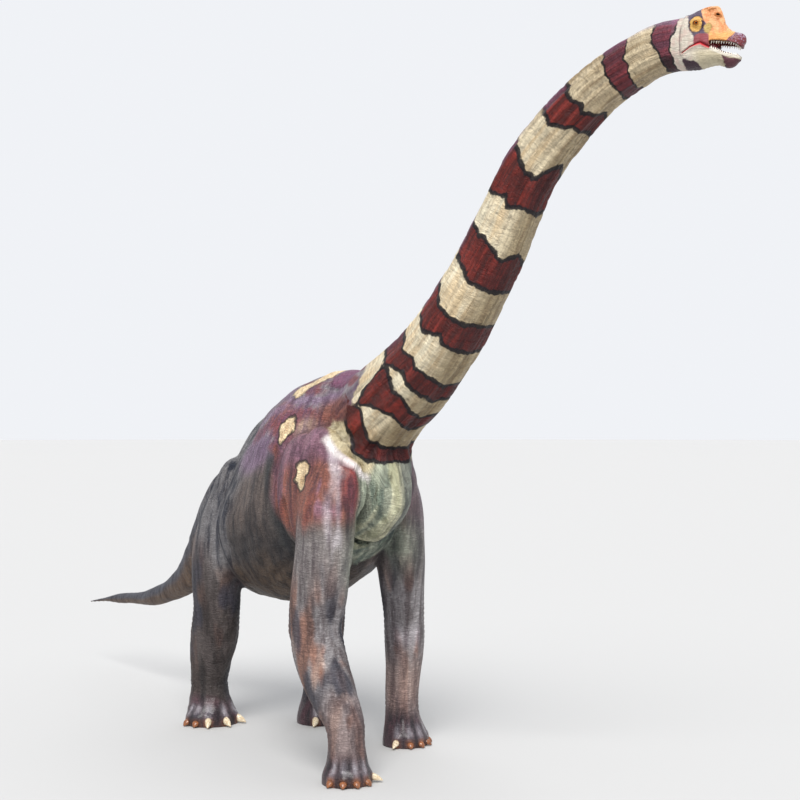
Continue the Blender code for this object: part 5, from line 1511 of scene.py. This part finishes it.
def makeHide():
    made, tree, shader = newMaterial("paintedHide")
    place, neckPlace = objectPlace(tree), attribute(tree, "neckPlace", "Vector")
    onNeck, onHead, spine, hollow, wet, marked = (
        attribute(tree, name) for name in ("onNeck", "onHead", "spine", "hollow", "wetLook", "ink"))
    notHead = minus(tree, 1.0, onHead)

    def pot(name):
        return paintPot(*hidePaint[name])

    def onSkin(group, output, sockets, name):
        # the group laid along the body, and along the neck's own line there
        values = dict(zip(sockets, hidePaint[name]))
        laid = [useGroup(tree, group, {"Vector": vector, **values})[output] for vector in (place, neckPlace)]
        return mixValue(tree, onNeck, *laid)

    def streaks(name):
        return onSkin(brushStreaks, "Streaks", ("Across", "Along", "Low", "High"), name)

    def cast(output, name):
        return onSkin(castSkin, output, ("Across", "Along", "Scales"), name)

    def headOrBody(onHeadValue, onBodyValue):
        return stretch(tree, notHead, 0, 1, onHeadValue, onBodyValue)

    wide, fine, ridge = streaks("wide"), streaks("fine"), streaks("ridge")
    wide = times(tree, wide, headOrBody(0.25, 1.0))
    groove = minus(tree, 1.0, ridge)
    ground = mixColour(tree, wide, attribute(tree, "undercoat", "Color"), attribute(tree, "streakCoat", "Color"))
    fineAmount = times(tree, fine, minus(tree, headOrBody(0.12, 0.26), times(tree, onNeck, 0.04)))
    ground = mixColour(tree, fineAmount, ground, (0.52, 0.46, 0.46, 1), "MULTIPLY")

    # scalloped borders: the stored distance, shaken by noise
    shake = noiseNode(tree, place, hidePaint["jagScale"], 4, 0.62)
    jag = times(tree, minus(tree, shake, 0.5), hidePaint["jag"])
    band, patch = (plus(tree, attribute(tree, name), jag) for name in ("band", "patch"))
    # the maroon goes dark along its streaks, and in the grooves between the neck's ridges as painted shade
    streakAndFoldShade = calculate(tree, "MAXIMUM", times(tree, wide, 0.8), times(tree, groove, 0.75))
    maroon = mixColour(tree, streakAndFoldShade, pot("maroon"), pot("maroonDeepAndShade"))
    # purple along the neck's top: partly the bands' own tint and partly a painted sheen
    maroon = mixColour(tree, times(tree, spine, 0.75), maroon, pot("maroonSpineTintAndSheen"))
    # darker on the neck's underside as painted shade, and on the band's lower half behind the head
    maroon = mixColour(tree, times(tree, attribute(tree, "throatDark"), 0.9), maroon, pot("maroonThroat"))
    cream = mixColour(tree, times(tree, fine, 0.7), pot("cream"), pot("creamStain"))
    colour = mixColour(tree, stretch(tree, patch, -0.01, 0.01), ground, cream)
    width = hidePaint["patchOutline"]
    rim = stretch(tree, calculate(tree, "ABSOLUTE", patch), width * 0.5, width * 1.5, 0.80, 0.0)
    colour = mixColour(tree, times(tree, rim, marked), colour, pot("outline"))
    colour = mixColour(tree, stretch(tree, band, -0.01, 0.01), colour, maroon)
    fineness = stretch(tree, attribute(tree, "fineInk"), 0, 1, 1.0, 2.4)  # thinner lines near the head
    line = times(tree, calculate(tree, "ABSOLUTE", band), fineness)
    width = hidePaint["outlineWidth"]
    ink = stretch(tree, line, width * 0.75, width * 1.45, 0.97, 0.0)
    # outlines paler along the neck's top, partly as a painted sheen
    ink = times(tree, ink, stretch(tree, spine, 0.3, 1.0, 1.0, 0.35), marked)
    colour = mixColour(tree, ink, colour, pot("outline"))

    # wrinkles and folds, and the painted shade laid in them and in the skin's hollows
    low = times(tree, cast("Low", "wrinkles"), stretch(tree, onNeck, 0, 1, 1.0, 0.5))
    low = calculate(tree, "MAXIMUM", low, times(tree, cast("Low", "folds"), notHead))
    sunk = stretch(tree, hollow, 0.001, 0.014, 0.0, 0.75)
    creaseShade = calculate(tree, "ADD", plus(tree, times(tree, low, 0.50), times(tree, groove, 0.12)), sunk, clamp=True)
    creaseShade = times(tree, creaseShade, headOrBody(0.30, 0.85))
    colour = mixColour(tree, hidePaint["creaseShadeMix"], colour, mixColour(tree, creaseShade, colour, pot("creaseShade")))
    aired = useGroup(tree, weathering, {
        "Colour": colour, "Vector": place, "Size": hidePaint["grimeSize"], "Amount": hidePaint["grime"]})
    height = plus(tree, cast("Height", "wrinkles"), times(tree, cast("Height", "folds"), 1.1))
    ridgeHeight = times(tree, ridge, times(tree, notHead, stretch(tree, onNeck, 0, 1, 1.2, 2.6)))
    height = plus(tree, times(tree, height, headOrBody(0.35, 1.0)), ridgeHeight)
    rough = plus(tree, minus(tree, hidePaint["rough"], times(tree, wet, 0.20)), times(tree, aired["Dull"], 0.35))
    feed(tree, shader, {
        "Base Color": aired["Colour"], "Roughness": rough, "Coat Weight": times(tree, wet, hidePaint["wetCoat"]),
        "Normal": bumpNode(tree, hidePaint["bump"], hidePaint["bumpDepth"], height),
        "Coat Roughness": hidePaint["coatRough"], "Specular IOR Level": hidePaint["glint"]})
    return made


skin.data.materials.clear()
skin.data.materials.append(makeHide())
skin.data.shade_smooth()
print("stage: hide finished")


# claws and nails: a curved horn on each toe
hornForm = {
    "sides": 20, "steps": 6,
    # share of the length, thickness, sag
    "rows": ((-0.45, 0.85, 0.0), (0.05, 1.0, 0.02), (0.60, 0.70, 0.28), (1.0, 0.12, 0.58)),
}
hornPaint = {
    "claw": {"light": (244, 232, 206), "dark": (190, 160, 118), "root": (110, 80, 58)},
    "nail": {"light": (158, 96, 54), "dark": (98, 58, 36), "root": (44, 28, 30)},
}


def makeHornMaterial(kind):
    made, tree, shader = newMaterial(kind + "Horn")
    pots = hornPaint[kind]
    towardsTip, grain = attribute(tree, "towardsTip"), attribute(tree, "hornPlace", "Vector")
    ridges = useGroup(tree, brushStreaks, {
        "Vector": grain, "Across": 70, "Along": 4, "Low": 0.40, "High": 0.66})["Streaks"]
    colour = mixColour(tree, ridges, paintPot(*pots["light"]), paintPot(*pots["dark"]))
    colour = mixColour(tree, stretch(tree, towardsTip, 0.05, 0.38, 0.85, 0.0), colour, paintPot(*pots["root"]))
    aired = useGroup(tree, weathering, {"Colour": colour, "Vector": objectPlace(tree), "Size": 14, "Amount": 0.5})
    feed(tree, shader, {
        "Base Color": aired["Colour"], "Roughness": plus(tree, aired["Dull"], 0.24), "Coat Weight": 0.4,
        "Normal": bumpNode(tree, 0.3, 0.003, ridges)})
    return made


def addHorn(bm, store, middle, side, angle, size):
    length, halfWidth, height, rootHeight, distance = size
    ahead = outward(angle, side)
    start = Vector((*middle, rootHeight)) + ahead * distance
    rows = []
    for share, thickness, sag in hornForm["rows"]:
        point = start + ahead * length * share - skyward * height * sag
        rows.append((*point, height * thickness / 2, height * thickness / 2, halfWidth * thickness))
    before = len(bm.verts)
    tube(bm, rows, skyward, hornForm["sides"], hornForm["steps"])
    bm.verts.ensure_lookup_table()
    across = ahead.cross(skyward)
    for vert in bm.verts[before:]:
        offset = vert.co - start
        store["tip"].append(offset.dot(ahead) / length)
        store["place"].append((offset.dot(across), offset.z, offset.dot(ahead)))


def makeHorns(kind):
    bm = bmesh.new()
    store, names = {"tip": [], "place": []}, []
    for foot in feet.values():
        for footName, x, y, side in foot["middles"]:
            if kind == "claw":
                marks = ["thumb"] if len(foot["claws"]) == 1 else [1, 2, 3]
            else:
                marks = range(foot["firstNail"], foot["firstNail"] + len(foot["nails"]))
            for mark, angle in zip(marks, foot[kind + "s"]):
                addHorn(bm, store, (x, y), side, angle, foot[kind])
                names.append(f"{kind}_{footName}_{mark}")
    made = fromBmesh(kind + "Set", bm)
    storeValue(made.data, "towardsTip", np.array(store["tip"]))
    storeValue(made.data, "hornPlace", np.array(store["place"]))
    made.data.materials.append(makeHornMaterial(kind))
    made.data.shade_smooth()
    return made, names


claws, clawNodes = makeHorns("claw")
nails, nailNodes = makeHorns("nail")
print("stage:", len(clawNodes), "claws and", len(nailNodes), "nails")


# eyes: a ball with a bulged cornea, looking out and a little forward
eyeForm = {"gaze": (0.30, 1.0, -0.02), "bulge": 0.05, "bulgeReach": 0.55}
# each colour, and the angles from the pupil's middle between which it begins
eyePaint = {
    "pupil": (10, 8, 8), "iris": (190, 108, 32), "irisDeep": (120, 56, 16), "irisFrom": (0.30, 0.36),
    "limbus": (24, 14, 10), "limbusFrom": (0.62, 0.72), "white": (150, 118, 84), "whiteFrom": (0.84, 0.96),
}


def makeEyes():
    bm = bmesh.new()
    aims = []
    for side in (-1, 1):
        middle = headFrame @ Vector((head["eye"][0], side * head["eye"][1], head["eye"][2]))
        axis = headFrame.to_3x3() @ Vector((eyeForm["gaze"][0], side * eyeForm["gaze"][1], eyeForm["gaze"][2]))
        axis.normalize()
        aims.append((np.array(middle), np.array(axis)))
        place = Matrix.Translation(middle) @ skyward.rotation_difference(axis).to_matrix().to_4x4()
        bmesh.ops.create_uvsphere(bm, u_segments=64, v_segments=48, radius=head["eyeRadius"] * 0.985, matrix=place)
    made = fromBmesh("eyePair", bm)
    points = readPoints(made.data)
    away = np.full(len(points), math.pi)
    for middle, axis in aims:
        offset = points - middle
        reach = np.linalg.norm(offset, axis=1)
        near = reach < 2 * head["eyeRadius"]
        away[near] = np.arccos(np.clip(offset[near] @ axis / reach[near], -1, 1))
        lift = eyeForm["bulge"] * np.cos(np.minimum(away / eyeForm["bulgeReach"], 1) * math.pi / 2)
        points[near] += offset[near] * lift[near, None]
    writePoints(made.data, points)
    storeValue(made.data, "fromPupil", away)
    made.data.shade_smooth()
    material, tree, shader = newMaterial("glassEye")
    away = attribute(tree, "fromPupil")
    flecks = useGroup(tree, brushStreaks, {
        "Vector": objectPlace(tree), "Across": 150, "Along": 150, "Low": 0.35, "High": 0.65})["Streaks"]
    pupil, iris, irisDeep, limbus, white = (
        paintPot(*eyePaint[name]) for name in ("pupil", "iris", "irisDeep", "limbus", "white"))
    iris = mixColour(tree, flecks, iris, irisDeep)
    colour = mixColour(tree, stretch(tree, away, *eyePaint["irisFrom"]), pupil, iris)
    colour = mixColour(tree, stretch(tree, away, *eyePaint["limbusFrom"]), colour, limbus)
    colour = mixColour(tree, stretch(tree, away, *eyePaint["whiteFrom"]), colour, white)
    feed(tree, shader, {
        "Base Color": colour, "Roughness": stretch(tree, away, 0.5, 0.9, 0.06, 0.25), "Coat Weight": 0.06,
        "Coat Roughness": 0.03, "Specular IOR Level": 0.08})
    made.data.materials.append(material)
    return made


eyes = makeEyes()
print("stage: eyes set")


# mouth lining and tongue behind the teeth
mouthForm = {
    "throat": ((0.320, 0, -0.118), (0.120, 0.118, 0.085)),
    "tongue": ((0.26, 0, -0.125, 0.030, 0.04, 0.060), (0.38, 0, -0.168, 0.028, 0.04, 0.064),
               (0.48, 0, -0.203, 0.022, 0.03, 0.058), (0.56, 0, -0.228, 0.016, 0.02, 0.046),
               (0.61, 0, -0.248, 0.008, 0.01, 0.024)),
    "sides": 32, "steps": 8, "voxel": 0.007, "rounds": 4, "swell": 0.004, "grooveDepth": 0.006, "grooveWidth": 0.012,
    "flesh": (122, 34, 42), "fleshDeep": (62, 14, 20),
}


def makeMouth():
    bm = bmesh.new()
    lump(bm, *mouthForm["throat"])
    tube(bm, mouthForm["tongue"], skyward, mouthForm["sides"], mouthForm["steps"])
    bmesh.ops.transform(bm, matrix=headFrame, verts=bm.verts)
    made = fromBmesh("mouthLining", bm)
    joinShapes(made, mouthForm["voxel"], mouthForm["rounds"])
    local = headPlaces(readPoints(made.data))
    facing = headDirections(readPoints(made.data, "normal"))
    groove = mouthForm["grooveDepth"] * bell(local[:, 1], 0, mouthForm["grooveWidth"]) * (facing[:, 2] > 0.3)
    local += facing * (mouthForm["swell"] * softNoise(local, 0.035, 201, 3) - groove)[:, None]
    putBack(made.data, local)
    made.data.shade_smooth()
    material, tree, shader = newMaterial("mouthFlesh")
    place = objectPlace(tree)
    colour = mixColour(tree, stretch(tree, noiseNode(tree, place, 26, 4), 0.35, 0.65), paintPot(*mouthForm["flesh"]),
                       paintPot(*mouthForm["fleshDeep"]))
    cast = useGroup(tree, castSkin, {"Vector": place, "Across": 60, "Along": 60, "Scales": 160})
    feed(tree, shader, {
        "Base Color": colour, "Roughness": 0.28, "Coat Weight": times(tree, cast["Low"], 0.3),
        "Normal": bumpNode(tree, 0.4, 0.003, cast["Height"])})
    made.data.materials.append(material)
    return made


mouth = makeMouth()
print("stage: mouth lined")


# teeth: one cone repeated along each jaw's arcade
toothForm = {
    "aSide": 14, "radius": 0.0118, "sink": 0.010, "lean": 0.10, "seed": 7,
    "back": 0.335, "bend": 0.075, "taper": 0.035, "straight": 0.72,
    "tip": 0.16, "hook": 0.7, "smallest": 0.82, "largest": 1.12,
    # edge of the mouth, front end, half width at the back, length, up or down
    "rows": {
        "upperTeeth": ("mouthTop", 0.704, 0.150, 0.033, -1), "lowerTeeth": ("mouthBottom", 0.674, 0.146, 0.031, 1),
    },
    "ivory": (250, 246, 236), "stain": (222, 200, 164),
}


def arcade(edge, front, halfWidth, points=64):
    straight, back, bend = toothForm["straight"], toothForm["back"], toothForm["bend"]
    half = []
    for i in range(points + 1):
        share = i / points
        run = min(share / straight, 1)
        turn = max(share - straight, 0) / (1 - straight) * math.pi / 2
        ahead = back + (front - bend - back) * run + bend * math.sin(turn)
        across = (halfWidth - toothForm["taper"] * run) * math.cos(turn)
        half.append((ahead, across, float(readTable(head[edge], ahead))))
    return [Vector(point) for point in half] + [Vector((x, -y, z)) for x, y, z in half[-2::-1]]


def toothTree(material):
    sockets = {"Geometry": "Geometry", "Teeth": 28, "Length": 0.03, "Radius": 0.01, "Turn": 0.0, "Unevenness": 0.1}
    tree, given, out = newGroup("toothArcade", sockets, {"Geometry": "Geometry"}, "GeometryNodeTree")
    path = addNode(tree, "GeometryNodeMeshToCurve", {"Mesh": given["Geometry"]}).outputs[0]
    spaced = addNode(tree, "GeometryNodeResampleCurve", {"Curve": path, "Count": given["Teeth"]}).outputs[0]
    cone = addNode(tree, "GeometryNodeMeshCone", {
        "Vertices": 12, "Side Segments": 5, "Radius Top": times(tree, given["Radius"], toothForm["tip"]),
        "Radius Bottom": given["Radius"], "Depth": given["Length"]}, fill_type="NGON").outputs["Mesh"]
    # a slight hook along the tooth
    position = addNode(tree, "GeometryNodeInputPosition").outputs[0]
    parts = addNode(tree, "ShaderNodeSeparateXYZ", {0: position}).outputs
    up = calculate(tree, "DIVIDE", parts["Z"], given["Length"])
    hook = times(tree, calculate(tree, "POWER", up, 2.0), times(tree, given["Radius"], -toothForm["hook"]))
    shift = addNode(tree, "ShaderNodeCombineXYZ", {"X": hook}).outputs[0]
    tooth = addNode(tree, "GeometryNodeSetPosition", {"Geometry": cone, "Offset": shift}).outputs[0]
    lean = addNode(tree, "FunctionNodeRandomValue", {
        "Min": (-1, -1, -1), "Max": (1, 1, 1), "Seed": toothForm["seed"]}, data_type="FLOAT_VECTOR").outputs[0]
    lean = addNode(tree, "ShaderNodeVectorMath", {0: lean, "Scale": given["Unevenness"]}, operation="SCALE").outputs[0]
    turn = addNode(tree, "ShaderNodeCombineXYZ", {"X": given["Turn"]}).outputs[0]
    rotation = addNode(tree, "ShaderNodeVectorMath", {0: lean, 1: turn}, operation="ADD").outputs[0]
    size = addNode(tree, "FunctionNodeRandomValue", {
        2: toothForm["smallest"], 3: toothForm["largest"], "Seed": toothForm["seed"] + 1}, data_type="FLOAT")
    placed = addNode(tree, "GeometryNodeInstanceOnPoints", {
        "Points": spaced, "Instance": tooth, "Rotation": rotation, "Scale": size.outputs[1]}).outputs[0]
    real = addNode(tree, "GeometryNodeRealizeInstances", {"Geometry": placed}).outputs[0]
    finished = addNode(tree, "GeometryNodeSetMaterial", {"Geometry": real, "Material": material}).outputs[0]
    feed(tree, out, {"Geometry": finished})
    return tree


def makeToothMaterial():
    made, tree, shader = newMaterial("toothEnamel")
    place = objectPlace(tree)
    stained = stretch(tree, noiseNode(tree, place, 55, 3), 0.42, 0.72, 0, 0.8)
    colour = mixColour(tree, stained, paintPot(*toothForm["ivory"]), paintPot(*toothForm["stain"]))
    aired = useGroup(tree, weathering, {"Colour": colour, "Vector": place, "Size": 30, "Amount": 0.3})
    feed(tree, shader, {
        "Base Color": aired["Colour"], "Roughness": plus(tree, aired["Dull"], 0.22), "Coat Weight": 0.4})
    return made


def makeTeeth():
    tree = toothTree(makeToothMaterial())
    sockets = {item.name: item.identifier for item in tree.interface.items_tree if item.in_out == "INPUT"}
    made = []
    for name, (edge, front, halfWidth, length, direction) in toothForm["rows"].items():
        line = arcade(edge, front, halfWidth)
        mesh = bpy.data.meshes.new(name)
        lift = Vector((0, 0, -direction * toothForm["sink"]))
        mesh.from_pydata([point + lift for point in line], [(i, i + 1) for i in range(len(line) - 1)], [])
        row = newObject(name, mesh)
        step = addStep(row, "NODES", node_group=tree)
        for socket, value in {
            "Teeth": 2 * toothForm["aSide"], "Length": length + toothForm["sink"], "Radius": toothForm["radius"],
            "Turn": math.pi if direction < 0 else 0.0, "Unevenness": toothForm["lean"],
        }.items():
            step[sockets[socket]] = value
        applyAll(row)
        row.data.transform(headFrame)
        row.data.shade_smooth()
        made.append(row)
    return made


teeth = makeTeeth()
print("stage: teeth set,", [len(row.data.polygons) for row in teeth], "faces")


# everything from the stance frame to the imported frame, and onto it
fleshNodes = [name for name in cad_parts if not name.startswith(("claw_", "nail_", "eye_"))]
pieceNodes = {
    skin: (fleshNodes, "skin_body"), claws: (clawNodes, "claw"), nails: (nailNodes, "nail"),
    eyes: (["eye_left", "eye_right"], "eye"), mouth: ([], "skin_jaw"), teeth[0]: ([], "claw"), teeth[1]: ([], "claw"),
}
for piece, (nodes, slot) in pieceNodes.items():
    piece.data.transform(Matrix.Translation(stance))
    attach(piece, "root")
    if nodes:
        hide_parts(*nodes)
print("stage: pieces ride on the frame")


# floor, light and camera
studio = {
    "floorRadius": 400, "floor": (196, 196, 196), "sky": (236, 238, 242), "skyStrength": 0.68, "backdrop": 1.04,
    # direction it comes from, breadth in degrees, power, colour
    "lights": (
        ((-0.72, -0.88, 1.15), 36, 3.40, (1.0, 0.985, 0.96)), ((0.55, 0.75, 1.30), 55, 0.80, (0.97, 0.985, 1.0)),
        ((0.55, -0.95, 0.35), 60, 0.25, (1.0, 1.0, 1.0)),
    ),
    "camera": (-13.12, -22.15, 5.72), "looks": (0.5576, 0.8301, 0), "lens": 64.89, "sensor": 36, "shiftUp": 0.025,
}


def makeStudio():
    bm = bmesh.new()
    bmesh.ops.create_circle(bm, cap_ends=True, segments=96, radius=studio["floorRadius"])
    floor = fromBmesh("floor", bm)
    material, _, shader = newMaterial("floorPaint")
    feed(material.node_tree, shader, {
        "Base Color": paintPot(*studio["floor"]), "Roughness": 0.9, "Specular IOR Level": 0.1})
    floor.data.materials.append(material)
    # soft light from the sky, and a brighter plain backdrop behind
    world = bpy.data.worlds.new("studioSky")
    scene.world = world
    world.use_nodes = True
    tree = world.node_tree
    background = tree.nodes["Background"]
    background.inputs["Color"].default_value = paintPot(*studio["sky"])
    strength = mixValue(tree, addNode(tree, "ShaderNodeLightPath").outputs["Is Camera Ray"], studio["skyStrength"],
                        studio["backdrop"])
    tree.links.new(strength, background.inputs["Strength"])
    for i, (direction, breadth, power, colour) in enumerate(studio["lights"]):
        lamp = bpy.data.lights.new(f"softLight{i}", "SUN")
        lamp.angle, lamp.energy, lamp.color = math.radians(breadth), power, colour
        holder = newObject(lamp.name, lamp)
        holder.location = Vector(direction) * 20
        holder.rotation_euler = Vector(direction).to_track_quat("Z", "Y").to_euler()
    camera = bpy.data.cameras.new("camera")
    camera.lens, camera.sensor_width, camera.shift_y = studio["lens"], studio["sensor"], studio["shiftUp"]
    camera.clip_end = 1000
    holder = newObject("camera", camera)
    holder.location = Vector(studio["camera"]) + stance
    holder.rotation_euler = Vector(studio["looks"]).to_track_quat("-Z", "Y").to_euler()
    scene.camera = holder
    scene.view_settings.view_transform = "Standard"


makeStudio()
print("stage: studio ready")
